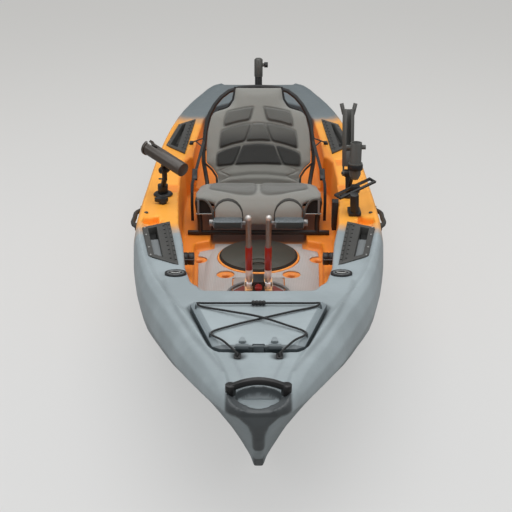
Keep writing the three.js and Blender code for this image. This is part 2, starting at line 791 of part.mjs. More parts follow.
// A strip of the track between two distances from the tray's inner edge
function trayStrip(end, side, near, far) {
  const [outerA, innerA, innerB, outerB] = trayShares[end].map(([x, y]) => [abeam(x), along(y)]);
  const edge = (distance) => {
    const [a, b] = [towards(innerA, outerA, distance), towards(innerB, outerB, distance)];
    return [towards(a, b, trayRim), towards(b, a, trayRim)];
  };
  const [nearA, nearB] = edge(near);
  const [farA, farB] = edge(far);
  return flip([nearA, farA, farB, nearB], side);
}

function makeTray(end, side) {
  const top = trayTop[end];
  const pocket = trayPocketOutline(end, side, trayRim);
  const hollow = grown(pocket, -trayWall);
  const deep = trayPocketDepth - trayWall;
  const slot = trayStrip(end, side, trackInset, trackInset + trackSlot);
  return cut(
    join(upright(trayCorners(end, side), top - trayPlate, top),
      upright(pocket, top - trayPlate - trayPocketDepth, top - trayPlate / 2)),
    upright(hollow, top - deep, above),
    upright(slot, top - trackSlotDepth, above),
  );
}

['front', 'rear'].forEach((end) => sides.forEach(([name, side]) => {
  addPart(`tray_${end}_${name}`, makeTray(end, side), 'tray');
}));

// Oval deck fittings, forward of the front trays
const ovalFittingShares = [0.561, -0.540];
const ovalFittingSize = [34, 24];

sides.forEach(([name, side]) => {
  const place = [side * abeam(ovalFittingShares[0]), along(ovalFittingShares[1])];
  const top = deckHeightAt(place[1]) + 12;
  const ring = upright(ellipseOutline(place, ovalFittingSize, 16), top - 20, top);
  const dish = upright(ellipseOutline(place, ovalFittingSize.map((r) => r - 9), 16), top - 3, above);
  addPart(`deck_fitting_${name}`, cut(ring, hullSkin, dish), 'black');
});

// Round cleats on the walls of the footwell
const cleatY = along(-0.280);
const cleatRadius = 23;
const cleatLength = 46;
const cleatHeight = ledgeHeight + 2 * cleatRadius + 16;

function makeCleat(side) {
  const wall = abeam(0.605);
  const drum = rod([side * (wall - cleatLength), cleatY, cleatHeight],
    [side * (wall + overrun), cleatY, cleatHeight], cleatRadius, 16);
  const groove = cut(
    rod([side * (wall - 26), cleatY, cleatHeight], [side * (wall - 22), cleatY, cleatHeight],
      cleatRadius + overrun, 16),
    rod([side * (wall - 30), cleatY, cleatHeight], [side * (wall - 18), cleatY, cleatHeight],
      cleatRadius - 2, 16),
  );
  return common(cut(drum, groove), well(cockpitShares, ledgeHeight, wallLean, -gap));
}

sides.forEach(([name, side]) => addPart(`wall_cleat_${name}`, makeCleat(side), 'black'));

// Pedal drive. Two cranks swing on one shaft and turn two drums under the floor,
// and each drum carries a fin that folds back into the pocket.
const flangeThickness = 7;
const flangeTop = floorHeight + gap + flangeThickness;
const shaftRadius = 8;
const shaftHeight = flangeTop + 27;
const towerHalf = 20;
const towerTop = shaftHeight + 26;
const spineHalf = 62;
const spineBottom = 22;
const drumPinRadius = 8;
const drumRadius = 27;
const drumStart = driveY - 16;
const drumLength = 78;
const finPivotY = drumStart + drumLength - 18;
const finEyeRadius = 13;
const finEyeHalf = 8;
const finPinRadius = 5;
const dialRadius = 13;
const dialLength = 9;

function makeSpine() {
  const flange = upright(roundedOutline([0, driveY],
    [2 * driveFlangeHalf, 2 * driveFlangeReach], 18), floorHeight + gap, flangeTop);
  const body = block([-spineHalf, spineHalf], [driveY - 90, drumStart - gap],
    [spineBottom, flangeTop]);
  const tower = block([-towerHalf, towerHalf], [driveY - 34, driveY + 34], [flangeTop - 1, towerTop]);
  const shaft = rod([-crankOuter, driveY, shaftHeight], [crankOuter, driveY, shaftHeight],
    shaftRadius, 16);
  const pins = [-1, 1].map((side) => rod([side * finSpacing, drumStart - 10, finAxisHeight],
    [side * finSpacing, drumStart + drumLength * 0.4, finAxisHeight], drumPinRadius, 16));
  return join(flange, body, tower, shaft, ...pins);
}

function makeDial() {
  const y = driveY - 34 - gap;
  const z = shaftHeight + 6;
  return join(rod([0, y, z], [0, y - dialLength, z], dialRadius, 12),
    block([-dialRadius * 0.9, dialRadius * 0.9], [y - dialLength - 5, y - dialLength + 1],
      [z - 3, z + 3]));
}

const crankInner = towerHalf + 3;
const crankHubRadius = 16;
const crankWidth = 20;
const crankOuter = crankInner + crankWidth + 4;
const crankX = crankInner + crankWidth / 2;
const crankTop = [crankX + 2, driveY - 38, floorHeight + 302];
const crankTubeRadius = 10;
const crankSocketRadius = 12.5;
const socketShares = [0.09, 0.24];
const sleeveShares = [0.242, 0.58];
const pedalShare = 0.93;
const pedalShaftRadius = 6;
const pedalInner = 56;
const pedalWidth = 98;
const pedalDepth = 80;
const pedalThickness = 22;
const pedalCapRadius = 12;
const pedalTilt = THREE.MathUtils.degToRad(-8);
const sleeveThickness = 3;

const crankPoint = (side, share) => {
  const foot = [side * crankX, driveY, shaftHeight];
  return between(foot, [side * crankTop[0], crankTop[1], crankTop[2]], share);
};

function makeCrank(side) {
  const hub = rod([side * crankInner, driveY, shaftHeight],
    [side * (crankInner + crankWidth), driveY, shaftHeight], crankHubRadius, 14);
  const arm = rod(crankPoint(side, 0), crankPoint(side, 1), crankTubeRadius, 10);
  const socket = rod(crankPoint(side, socketShares[0]), crankPoint(side, socketShares[1]),
    crankSocketRadius, 8);
  const cap = new THREE.SphereGeometry(crankTubeRadius + 1, 8, 5).translate(...crankPoint(side, 1));
  const [, y, z] = crankPoint(side, pedalShare);
  const end = pedalInner + pedalWidth;
  const shaft = rod([side * crankX, y, z], [side * (end + 12), y, z], pedalShaftRadius, 12);
  const stop = rod([side * (end + gap), y, z], [side * (end + 14), y, z], pedalCapRadius, 8);
  const bore = rod([0, driveY, shaftHeight], [side * (crankOuter + overrun), driveY, shaftHeight],
    shaftRadius + gap, 16);
  return cut(join(hub, arm, socket, cap, shaft, stop), bore);
}

function makeSleeve(side) {
  return sleeve(crankPoint(side, sleeveShares[0]), crankPoint(side, sleeveShares[1]),
    crankTubeRadius + gap, crankTubeRadius + sleeveThickness, 10);
}

function makePedal(side) {
  const [, y, z] = crankPoint(side, pedalShare);
  const x = side * (pedalInner + pedalWidth / 2);
  const tread = upright(roundedOutline([0, 0], [pedalWidth, pedalDepth], 12),
    -pedalThickness / 2, pedalThickness / 2);
  const body = tread.rotateX(pedalTilt).translate(x, y, z);
  return cut(body, rod([0, y, z], [side * 2 * halfBeam, y, z], pedalShaftRadius + gap, 12));
}

const strapRise = 78;
const strapWidth = 20;
const strapThickness = 3.5;
const strapPlace = 14;
const strapDrop = 8;

function makePedalStrap(side) {
  const [, y, z] = crankPoint(side, pedalShare);
  const x = side * (pedalInner + pedalWidth / 2);
  const inner = pedalWidth / 2 + gap;
  const legTop = pedalThickness / 2 + 4;
  const arch = (radiusX, top) => Array.from({ length: 11 }, (_, i) => {
    const angle = (i / 10) * Math.PI;
    return [radiusX * Math.cos(angle), legTop + (top - legTop) * Math.sin(angle)];
  });
  const outline = [
    [inner + strapThickness, -strapDrop], ...arch(inner + strapThickness, strapRise),
    [-inner - strapThickness, -strapDrop], [-inner, -strapDrop],
    ...arch(inner, strapRise - strapThickness).reverse(), [inner, -strapDrop],
  ];
  return upright(outline, -strapWidth, 0).rotateX(Math.PI / 2).translate(x, y + strapPlace, z);
}

function makeDrum(side) {
  const x = side * finSpacing;
  const start = [x, drumStart, finAxisHeight];
  const end = [x, drumStart + drumLength, finAxisHeight];
  const bore = rod([x, drumStart - overrun, finAxisHeight],
    [x, drumStart + drumLength * 0.4 + gap, finAxisHeight], drumPinRadius + gap, 16);
  const slot = block([x - finEyeHalf - gap, x + finEyeHalf + gap],
    [finPivotY - finEyeRadius - 2, finPivotY + overrun], [0, depth]);
  const pin = rod([x - drumRadius * 0.7, finPivotY, finAxisHeight],
    [x + drumRadius * 0.7, finPivotY, finAxisHeight], finPinRadius, 12);
  return join(cut(rod(start, end, drumRadius, 14), bore, slot), pin);
}

const finLength = 396;
const finMastRadius = 5;
const finRootHalf = 34;
const finWidestHalf = 49;
const finTipHalf = 20;
const finThickness = 9;
const finRootPlace = 56;

function makeFin(side) {
  const x = side * finSpacing;
  const eye = rod([x - finEyeHalf, finPivotY, finAxisHeight],
    [x + finEyeHalf, finPivotY, finAxisHeight], finEyeRadius, 12);
  const mast = rod([x, finPivotY, finAxisHeight],
    [x, finPivotY + finLength * 0.9, finAxisHeight], finMastRadius, 6);
  const rows = [
    [finRootPlace, finRootHalf * 0.7], [finRootPlace + 12, finRootHalf],
    [finLength * 0.42, finWidestHalf], [finLength * 0.72, finWidestHalf * 0.86],
    [finLength * 0.93, finTipHalf * 1.4], [finLength, finTipHalf * 0.6],
  ];
  const blade = loft(rows.map(([place, half], row) => {
    const thick = (finThickness / 2) * (1 - (0.6 * row) / (rows.length - 1));
    return Array.from({ length: 8 }, (_, i) => {
      const angle = (i / 8) * 2 * Math.PI;
      return [x + thick * Math.sin(angle), finPivotY + place, finAxisHeight + half * Math.cos(angle)];
    });
  }));
  const hole = rod([x - overrun, finPivotY, finAxisHeight], [x + overrun, finPivotY, finAxisHeight],
    finPinRadius + gap, 12);
  return cut(join(eye, mast, blade), hole);
}

addPart('drive_spine', makeSpine(), 'black');
addPart('drive_dial', makeDial(), 'red');
sides.forEach(([name, side]) => {
  addPart(`crank_${name}`, makeCrank(side), 'silver');
  addPart(`crank_sleeve_${name}`, makeSleeve(side), 'red');
  addPart(`pedal_${name}`, makePedal(side), 'pedal');
  addPart(`pedal_strap_${name}`, makePedalStrap(side), 'rubber');
  addPart(`fin_drum_${name}`, makeDrum(side), 'black');
  addPart(`fin_${name}`, makeFin(side), 'rubber');
});

// Seat: a tube frame that stands on the ledges, a padded pan and a backrest that folds
const seatTube = 10;
const seatBarY = along(-0.060);
const seatBarHalf = 282;
const seatBarHeight = ledgeHeight + gap + seatTube;
const seatLegX = 233;
const seatRailX = 244;
const seatPathShares = [
  [-0.080, 0.609], [-0.070, 0.740], [-0.050, 0.815], [-0.018, 0.812], [0.045, 0.765], [0.108, 0.722],
];
const seatPath = seatPathShares.map(([y, z]) => [along(y), raise(z)]);
const reclineY = along(0.117);
const reclineZ = raise(0.655);
const reclinePin = 6;
const reclineEye = 13;
const seatRearLegY = along(0.095);

function makeSeatFrame() {
  const bar = rod([-seatBarHalf, seatBarY, seatBarHeight], [seatBarHalf, seatBarY, seatBarHeight],
    seatTube, 8);
  const rails = [-1, 1].map((side) => tube([
    [side * seatLegX, seatBarY, seatBarHeight],
    [side * seatLegX, seatBarY, seatBarHeight + 60],
    [side * seatRailX, seatPath[2][0] + 8, seatPath[2][1] - 17],
    [side * seatRailX, seatPath[3][0], seatPath[3][1] - 16],
    [side * seatRailX, seatPath[4][0], seatPath[4][1] - 15],
    [side * seatRailX, reclineY, reclineZ],
  ], seatTube, { sides: 6, steps: 10 }));
  const pins = [-1, 1].map((side) => rod([side * seatRailX, reclineY, reclineZ],
    [side * (seatRailX - 44), reclineY, reclineZ], reclinePin, 12));
  const legs = [-1, 1].map((side) => rod([side * seatRailX, seatRearLegY, ledgeHeight + gap],
    [side * seatRailX, seatRearLegY, reclineZ + 4], seatTube, 6));
  const crossbar = rod([-seatRailX, seatRearLegY, ledgeHeight + 30],
    [seatRailX, seatRearLegY, ledgeHeight + 30], seatTube * 0.8, 6);
  return join(bar, ...rails, ...pins, ...legs, crossbar);
}

// A padded panel: a crowned closed form over a path, with drawn-in sides and channels
function padded({ path, halfWidth, front, back, channel, columns, rows }) {
  const curve = new THREE.CatmullRomCurve3(
    path.map(([y, z]) => new THREE.Vector3(0, y, z)), false, 'centripetal');
  const bulge = (u, v) => Math.sqrt((1 - u ** 6) * (1 - (2 * v - 1) ** 8));
  const place = (u, v, lift) => {
    const point = curve.getPointAt(v);
    const along2 = curve.getTangentAt(v);
    const x = u * halfWidth(v);
    return [x, point.y - along2.z * lift, point.z + along2.y * lift];
  };
  const positions = [];
  const index = new Map();
  const faces = [];
  const vertex = (face, i, j) => {
    const edge = i === 0 || j === 0 || i === columns || j === rows;
    const key = `${edge ? 'edge' : face}:${i}:${j}`;
    if (!index.has(key)) {
      const [u, v] = [(2 * i) / columns - 1, j / rows];
      const depthHere = face === 'front' ? front - channel(u * halfWidth(v), v) : -back;
      index.set(key, positions.length / 3);
      positions.push(...place(u, v, edge ? 0 : depthHere * bulge(u, v)));
    }
    return index.get(key);
  };
  ['front', 'back'].forEach((face) => {
    for (let j = 0; j < rows; j += 1) {
      for (let i = 0; i < columns; i += 1) {
        const quad = [vertex(face, i, j), vertex(face, i + 1, j),
          vertex(face, i + 1, j + 1), vertex(face, i, j + 1)];
        if (face === 'back') quad.reverse();
        faces.push(quad[0], quad[1], quad[2], quad[0], quad[2], quad[3]);
      }
    }
  });
  const geometry = new THREE.BufferGeometry();
  geometry.setAttribute('position', new THREE.Float32BufferAttribute(positions, 3));
  geometry.setIndex(faces);
  return facingOut(geometry);
}

// Straight-line values between the rows of a table
function stepped(rows, place) {
  const next = rows.findIndex(([at]) => at >= place);
  if (next <= 0) return rows.at(next)[1];
  const [[a, low], [b, high]] = [rows[next - 1], rows[next]];
  return low + ((high - low) * (place - a)) / (b - a);
}

const seatWidthShares = [
  [0, 0.370], [0.22, 0.385], [0.30, 0.545], [0.45, 0.560], [0.9, 0.545], [1, 0.500],
];
const seatPadFront = 16;
const seatPadBack = 15;
const channelDepth = 5;
const channelHalf = 9;
const groove = (distance) => channelDepth * Math.exp(-((distance / channelHalf) ** 2));

function makeSeatCushion() {
  const middle = (v) => (v > 0.42 && v < 0.78 ? 1 : 0);
  const cushion = padded({
    path: seatPath,
    halfWidth: (v) => abeam(stepped(seatWidthShares, v)),
    front: seatPadFront,
    back: seatPadBack,
    channel: (x, v) => Math.max(
      groove((v - 0.4) * seatPanLength), middle(v) * groove(x), groove((v - 0.8) * seatPanLength)),
    columns: 14,
    rows: 15,
  });
  return cut(cushion, seatFrameGrown());
}

const seatPanLength = along(0.108) - along(-0.080);

function seatFrameGrown() {
  const rails = [-1, 1].map((side) => tube([
    [side * seatLegX, seatBarY, seatBarHeight],
    [side * seatLegX, seatBarY, seatBarHeight + 60],
    [side * seatRailX, seatPath[2][0] + 8, seatPath[2][1] - 17],
    [side * seatRailX, seatPath[3][0], seatPath[3][1] - 16],
    [side * seatRailX, seatPath[4][0], seatPath[4][1] - 15],
    [side * seatRailX, reclineY, reclineZ],
  ], seatTube + gap, { sides: 6, steps: 10 }));
  return join(...rails);
}

const backTopY = along(0.228);
const backTopZ = raise(1.545);
const backWidthShares = [
  [0, 0.400], [0.10, 0.405], [0.20, 0.470], [0.30, 0.502], [0.50, 0.495], [0.64, 0.470],
  [0.77, 0.425], [0.80, 0.360], [0.90, 0.255], [1, 0.215],
];
const backTube = 9;
const backPadFront = 18;
const backPadBack = 12;
const backPoint = (share, lift = 0) => {
  const [dy, dz] = [backTopY - reclineY, backTopZ - reclineZ];
  const size = Math.hypot(dy, dz);
  return [reclineY + dy * share + (dz / size) * lift, reclineZ + dz * share - (dy / size) * lift];
};
const backTubeShares = [
  [0.478, 0.10], [0.512, 0.30], [0.500, 0.52], [0.470, 0.70], [0.400, 0.84], [0.290, 0.95],
  [0.180, 0.99],
];
const backTubeLift = 10;

function backFrameTube(radius) {
  const half = backTubeShares.map(([x, share]) => [abeam(x), ...backPoint(share, backTubeLift)]);
  const foot = [seatRailX - 26, ...backPoint(0)];
  const right = [foot, ...half];
  const left = right.map(([x, ...rest]) => [-x, ...rest]);
  return tube([...left, ...right.reverse()], radius, { sides: 6, steps: 28 });
}

function makeBackFrame() {
  const eyes = [-1, 1].map((side) => rod([side * (seatRailX - 12), reclineY, reclineZ],
    [side * (seatRailX - 40), reclineY, reclineZ], reclineEye, 12));
  const bore = rod([-halfBeam, reclineY, reclineZ], [halfBeam, reclineY, reclineZ],
    reclinePin + gap, 12);
  return cut(join(backFrameTube(backTube), ...eyes), bore);
}

function makeBackPad() {
  const rowsAt = [0.17, 0.39, 0.61, 0.82];
  const height = Math.hypot(backTopY - reclineY, backTopZ - reclineZ);
  const pad = padded({
    path: [backPoint(0.045), backPoint(0.3), backPoint(0.65), backPoint(1)],
    halfWidth: (v) => abeam(stepped(backWidthShares, v)),
    front: backPadFront,
    back: backPadBack,
    channel: (x, v) => {
      const arch = v + (x / abeam(1)) ** 2 * 0.25;
      return Math.max(...rowsAt.map((row) => groove((arch - row) * height)));
    },
    columns: 14,
    rows: 19,
  });
  return cut(pad, backFrameTube(backTube + gap));
}

addPart('seat_frame', makeSeatFrame(), 'black');
addPart('seat_cushion', makeSeatCushion(), 'fabric');
addPart('backrest_frame', makeBackFrame(), 'black');
addPart('backrest_pad', makeBackPad(), 'fabric');

// Webbing that lies in one upright plane, its flat side turned up
function ribbon(points, thickness) {
  const normals = points.map((point, i) => {
    const [a, b] = [points[Math.max(i - 1, 0)], points[Math.min(i + 1, points.length - 1)]];
    const size = Math.hypot(b[0] - a[0], b[1] - a[1]);
    return [-(b[1] - a[1]) / size, (b[0] - a[0]) / size];
  });
  const edge = (lift) => points.map(([y, z], i) => [
    y + normals[i][0] * lift, z + normals[i][1] * lift]);
  return [...edge(thickness / 2), ...edge(-thickness / 2).reverse()];
}

// Backrest webbing to the ledges, and cords back to the side decks
const webbingX = [262, 282];
const webbingThickness = 3;
const webbingRoute = [
  backPoint(0.54, -16), [along(0.105), raise(1.005)], [along(0.040), raise(0.850)],
  [along(0.020), raise(0.700)], [along(0.018), ledgeHeight + 8],
];
const buckleRoute = [[along(0.066), raise(0.906)], [along(0.040), raise(0.845)]];
const buckleThickness = 13;
const backCordRadius = 3;
const backCordFoot = [abeam(0.672), along(0.343)];
const backCordPlate = [18, 40, 8];

function makeBackStrap(side) {
  const spread = (points, thickness, span) => {
    const [near, far] = span.map((x) => side * x).sort((a, b) => a - b);
    return sideways(ribbon(points, thickness), near, far);
  };
  return join(spread(webbingRoute, webbingThickness, webbingX),
    spread(buckleRoute, buckleThickness, [webbingX[0] - 3, webbingX[1] + 3]),
    spread([[along(0.003), ledgeHeight + gap + 4], [along(0.030), ledgeHeight + gap + 4]], 8,
      webbingX));
}

function makeBackCord(side) {
  const [x, y] = [side * backCordFoot[0], backCordFoot[1]];
  const deck = deckHeightAt(y);
  const start = [side * (abeam(backTubeShares[2][0]) + backTube + backCordRadius + 1),
    ...backPoint(backTubeShares[2][1], backTubeLift)];
  const [width, length, height] = backCordPlate;
  const plate = block([x - width / 2, x + width / 2], [y - length / 2, y + length / 2],
    [deck - overrun, deck + height]);
  const cord = tube([start, between(start, [x, y, deck + height], 0.5), [x, y, deck + height - 3]],
    backCordRadius, { sides: 5, steps: 8 });
  return join(cord, cut(plate, hullSkin));
}

sides.forEach(([name, side]) => {
  addPart(`back_strap_${name}`, makeBackStrap(side), 'rubber');
  addPart(`back_cord_${name}`, makeBackCord(side), 'rubber');
});

// Small lever on the left side deck that steers the rudder
function makeSteeringLever() {
  const [x, y] = leverPlace;
  const deck = deckHeightAt(y);
  const grip = upright(ellipseOutline([x - 6, y], [26, 13], 20), deck + 12, deck + 26);
  const foot = rod([x, y, deck + 4], [x, y, deck + 14], 15, 16);
  const stem = rod([x, y, deck - 26], [x, y, deck + 12], leverStem, 14);
  return join(grip, foot, stem);
}

addPart('steering_lever', makeSteeringLever(), 'black');

// A frame of reference for slanting gear: across, forward and up from a pin
function placer([x, y, z], heading, tilt) {
  const turn = new THREE.Matrix4().makeRotationZ(heading)
    .multiply(new THREE.Matrix4().makeRotationX(tilt));
  return (point) => new THREE.Vector3(...point).applyMatrix4(turn)
    .add(new THREE.Vector3(x, y, z)).toArray();
}

// Rod holder on the left side deck: a foot, an arm that swivels and a tube that tilts
const rodFoot = [abeam(-0.813), along(-0.064)];
const rodFootRadius = 38;
const rodPostRadius = 11;
const rodPin = [abeam(-0.783), along(-0.092), raise(1.130)];
const rodElbow = [...rodPin.slice(0, 2), rodPin[2] - 34];
const rodPinRadius = 6;
const rodBarrelHalf = 12;
const cheekThickness = 8;
const rodTubeRadius = 27;
const rodTubeBore = 22;
const rodTubeLift = 46;
const rodTubeReach = [-96, 108];
const rodHeading = THREE.MathUtils.degToRad(48);
const rodTilt = THREE.MathUtils.degToRad(14);

function makeRodBase() {
  const [x, y] = rodFoot;
  const deck = deckHeightAt(y);
  const disc = spun([[0, -overrun], [rodFootRadius, -overrun], [rodFootRadius, 9],
    [rodFootRadius - 6, 14], [0, 14]], 18).translate(x, y, deck);
  const post = rod([x, y, deck], [x, y, deck + 42], rodPostRadius, 16);
  return cut(join(disc, post), hullSkin);
}

function makeRodArm() {
  const [x, y] = rodFoot;
  const deck = deckHeightAt(y);
  const [low, high] = [deck + 14 + gap, deck + 46];
  const cap = rod([x, y, low], [x, y, high], 20, 18);
  const hollow = rod([x, y, low - 1], [x, y, deck + 42 + gap], rodPostRadius + gap, 16);
  const local = placer(rodPin, rodHeading, 0);
  const arm = rod([x, y, high - 12], rodElbow, 10, 10);
  const neck = rod(beyond(rodPin, rodElbow, 8), rodPin, 10, 10);
  const barrel = rod(local([-rodBarrelHalf, 0, 0]), local([rodBarrelHalf, 0, 0]), 15, 16);
  const pin = rod(local([-rodBarrelHalf - 12, 0, 0]), local([rodBarrelHalf + 12, 0, 0]),
    rodPinRadius, 12);
  return cut(join(cap, arm, neck, barrel, pin), hollow);
}

function makeRodTube() {
  const local = placer(rodPin, rodHeading, rodTilt);
  const [tail, mouth] = rodTubeReach;
  const shell = rod(local([0, tail, rodTubeLift]), local([0, mouth, rodTubeLift]),
    rodTubeRadius, 16);
  const lip = rod(local([0, mouth - 10, rodTubeLift]), local([0, mouth, rodTubeLift]),
    rodTubeRadius + 4, 16);
  const bore = rod(local([0, tail + 10, rodTubeLift]), local([0, mouth + 1, rodTubeLift]),
    rodTubeBore, 12);
  const slot = rod(local([0, mouth - 60, rodTubeLift + rodTubeRadius]),
    local([0, mouth + 1, rodTubeLift + rodTubeRadius]), 12, 4);
  const near = rodBarrelHalf + gap;
  const cheeks = [-1, 1].flatMap((side) => {
    const [a, b] = [side * near, side * (near + cheekThickness)];
    return [
      rod(local([a, 0, 0]), local([b, 0, 0]), 12, 10),
      rod(local([(a + b) / 2, 0, 0]), local([(a + b) / 2, 0, rodTubeLift - 12]), cheekThickness / 2, 6),
    ];
  });
  const hole = rod(local([-overrun, 0, 0]), local([overrun, 0, 0]), rodPinRadius + gap, 12);
  return cut(cut(join(shell, lip, cut(join(...cheeks), hole)), bore), slot);
}

addPart('rod_base', makeRodBase(), 'black');
addPart('rod_arm', makeRodArm(), 'black');
addPart('rod_tube', makeRodTube(), 'rodGrey');

// Gear on the right side deck: a clamp with a tall open tube and a short closed one
const clampPlace = [abeam(0.762), along(-0.072)];
const clampPinZ = raise(1.062);
const clampPin = [abeam(0.755), along(-0.062), clampPinZ];
const clampHalf = 13;
const tallLean = THREE.MathUtils.degToRad(-16);
const tallRadius = 23;
const tallBore = 19;
const tallReach = [26, 246];
const shortPlace = [abeam(0.794), along(-0.116)];
const shortRadius = 22;
const shortSpan = [raise(1.07), raise(1.39)];

function makeClamp() {
  const [x, y] = clampPlace;
  const deck = deckHeightAt(y);
  const disc = rod([x, y, deck - overrun], [x, y, deck + 12], 34, 16);
  const post = rod([x, y, deck], clampPin, 10, 12);
  const local = placer(clampPin, 0, 0);
  const barrel = rod(local([-clampHalf, 0, 0]), local([clampHalf, 0, 0]), 15, 16);
  const pin = rod(local([-clampHalf - 12, 0, 0]), local([clampHalf + 12, 0, 0]), rodPinRadius, 12);
  const ringHeight = shortSpan[0] + 52;
  const ring = sleeve([...shortPlace, ringHeight - 9], [...shortPlace, ringHeight + 9],
    shortRadius + gap, shortRadius + 7, 16);
  const arm = rod([x, y, deck + 20], [shortPlace[0], shortPlace[1] + shortRadius + 11, ringHeight - 4],
    8, 10);
  return cut(join(disc, post, barrel, pin, ring, arm), hullSkin);
}

function makeTallTube() {
  const local = placer(clampPin, 0, tallLean);
  const [low, high] = tallReach;
  const shell = rod(local([0, 0, low]), local([0, 0, high]), tallRadius, 14);
  const bore = rod(local([0, 0, low + 12]), local([0, 0, high + 1]), tallBore, 12);
  const slot = block([-9, 9], [-overrun, 0], [low + 60, high + overrun]);
  const turned = new THREE.Matrix4().makeRotationX(tallLean);
  slot.applyMatrix4(turned).translate(...clampPin);
  const horns = [-1, 1].map((side) => rod(local([side * 17, 4, high - 20]),
    local([side * 27, 4, high + 22]), 8, 8));
  const near = clampHalf + gap;
  const cheeks = [-1, 1].flatMap((side) => {
    const [a, b] = [side * near, side * (near + cheekThickness)];
    return [
      rod(local([a, 0, 0]), local([b, 0, 0]), 12, 10),
      rod(local([(a + b) / 2, 0, 0]), local([(a + b) / 2, 0, low + 8]), cheekThickness / 2, 6),
    ];
  });
  const hole = rod(local([-overrun, 0, 0]), local([overrun, 0, 0]), rodPinRadius + gap, 12);
  return cut(join(cut(join(shell, ...horns), slot), cut(join(...cheeks), hole)), bore);
}

function makeShortTube() {
  const [low, high] = shortSpan;
  const [x, y] = shortPlace;
  const body = spun([[0, low], [14, low + 4], [shortRadius, low + 22], [shortRadius, high],
    [shortRadius - 4, high], [shortRadius - 4, low + 26], [0, low + 14]], 16).translate(x, y, 0);
  const flange = sleeve([x, y, low + 62], [x, y, low + 68], shortRadius - 2, shortRadius + 5, 16);
  const knobs = [-1, 1].map((side) => rod([x + side * (shortRadius - 2), y, high - 18],
    [x + side * (shortRadius + 14), y, high - 18], 9, 8));
  return join(body, flange, ...knobs);
}

addPart('holder_clamp', makeClamp(), 'black');
addPart('tall_tube', makeTallTube(), 'rodGrey');
addPart('short_tube', makeShortTube(), 'rodGrey');

// A leaning post with an open frame that swivels on it, and a plate on the cockpit wall
const postPlace = [abeam(0.768), along(-0.206)];
const framePlace = [abeam(0.776), along(-0.178)];
const frameHeight = raise(1.078);
const frameHalf = 74;
const frameWidth = 18;
const frameBar = 6;
const frameHeading = THREE.MathUtils.degToRad(24);
const frameSlope = THREE.MathUtils.degToRad(-17);
const stubRadius = 9;

function makeGearPost() {
  const [x, y] = postPlace;
  const deck = deckHeightAt(y);
  const base = upright(roundedOutline([x, y + 14], [46, 72], 8), deck - overrun, deck + 16);
  const post = rod([x, y, deck], [x - 6, y - 26, deck + 92], 17, 6);
  const [fx, fy] = framePlace;
  const stub = rod([fx, fy, deck - overrun], [fx, fy, frameHeight + 14], stubRadius, 14);
  return cut(join(base, post, stub), hullSkin);
}

function makeGearFrame() {
  const [x, y] = framePlace;
  const corner = (reach, across) => {
    const point = new THREE.Vector3(reach, across, 0)
      .applyAxisAngle(new THREE.Vector3(0, 1, 0), frameSlope)
      .applyAxisAngle(new THREE.Vector3(0, 0, 1), frameHeading);
    return [x + point.x, y + point.y, frameHeight + point.z];
  };
  const ring = [[-frameHalf, -frameWidth], [frameHalf, -frameWidth], [frameHalf, frameWidth],
    [-frameHalf, frameWidth]];
  const bars = ring.map(([a, b], i) => {
    const [c, d] = ring[(i + 1) % ring.length];
    const [start, end] = [corner(a, b), corner(c, d)];
    return rod(beyond(end, start, frameBar / 2), beyond(start, end, frameBar / 2), frameBar, 6);
  });
  const hub = rod([x, y, frameHeight - 14], [x, y, frameHeight + 12], stubRadius + 8, 16);
  const across = rod(corner(0, -frameWidth), corner(0, frameWidth), frameBar, 6);
  const bore = rod([x, y, frameHeight - overrun], [x, y, frameHeight + overrun],
    stubRadius + gap, 14);
  return cut(join(...bars, hub, across), bore);
}

const bracketPlace = [abeam(0.630), along(-0.124)];

function makeWallBracket() {
  const [x, y] = bracketPlace;
  const plate = block([x - 8, x + overrun], [y - 20, y + 20], [raise(0.65), raise(0.90)]);
  return common(plate, well(cockpitShares, ledgeHeight, wallLean, -gap));
}

addPart('gear_post', makeGearPost(), 'black');
addPart('gear_frame', makeGearFrame(), 'black');
addPart('wall_bracket', makeWallBracket(), 'black');

// Stern post with a clamp that turns on it and a knob on the clamp's side
const sternPlace = along(0.908);
const sternPostRadius = 14;
const sternClampRadius = 23;
const sternClampSpan = [raise(1.06), raise(1.28)];
const sternKnobHeight = raise(1.20);

function makeSternBase() {
  const deck = deckHeightAt(sternPlace);
  const foot = rod([0, sternPlace, deck - overrun], [0, sternPlace, deck + 12], 36, 18);
  const collar = rod([0, sternPlace, deck], [0, sternPlace, sternClampSpan[0] - gap], 20, 18);
  const post = rod([0, sternPlace, deck], [0, sternPlace, sternClampSpan[1] - 14],
    sternPostRadius, 16);
  return cut(join(foot, collar, post), hullSkin);
}

function makeSternClamp() {
  const [low, high] = sternClampSpan;
  const body = spun([[0, low], [sternClampRadius, low], [sternClampRadius, high - 8],
    [sternClampRadius - 8, high], [0, high]], 20).translate(0, sternPlace, 0);
  const boss = rod([0, sternPlace, sternKnobHeight],
    [sternClampRadius + 8, sternPlace, sternKnobHeight], 10, 12);
  const stud = rod([0, sternPlace, sternKnobHeight],
    [sternClampRadius + 22, sternPlace, sternKnobHeight], 4, 10);
  const hollow = rod([0, sternPlace, low - 1], [0, sternPlace, high - 14 + gap],
    sternPostRadius + gap, 16);
  return cut(join(body, boss, stud), hollow);
}

function makeSternKnob() {
  const start = sternClampRadius + 8 + gap;
  const knob = rod([start, sternPlace, sternKnobHeight],
    [start + 20, sternPlace, sternKnobHeight], 15, 8);
  const bore = rod([0, sternPlace, sternKnobHeight],
    [sternClampRadius + 22 + gap, sternPlace, sternKnobHeight], 4 + gap, 10);
  return cut(knob, bore);
}

addPart('stern_base', makeSternBase(), 'black');
addPart('stern_clamp', makeSternClamp(), 'black');
addPart('stern_knob', makeSternKnob(), 'black');

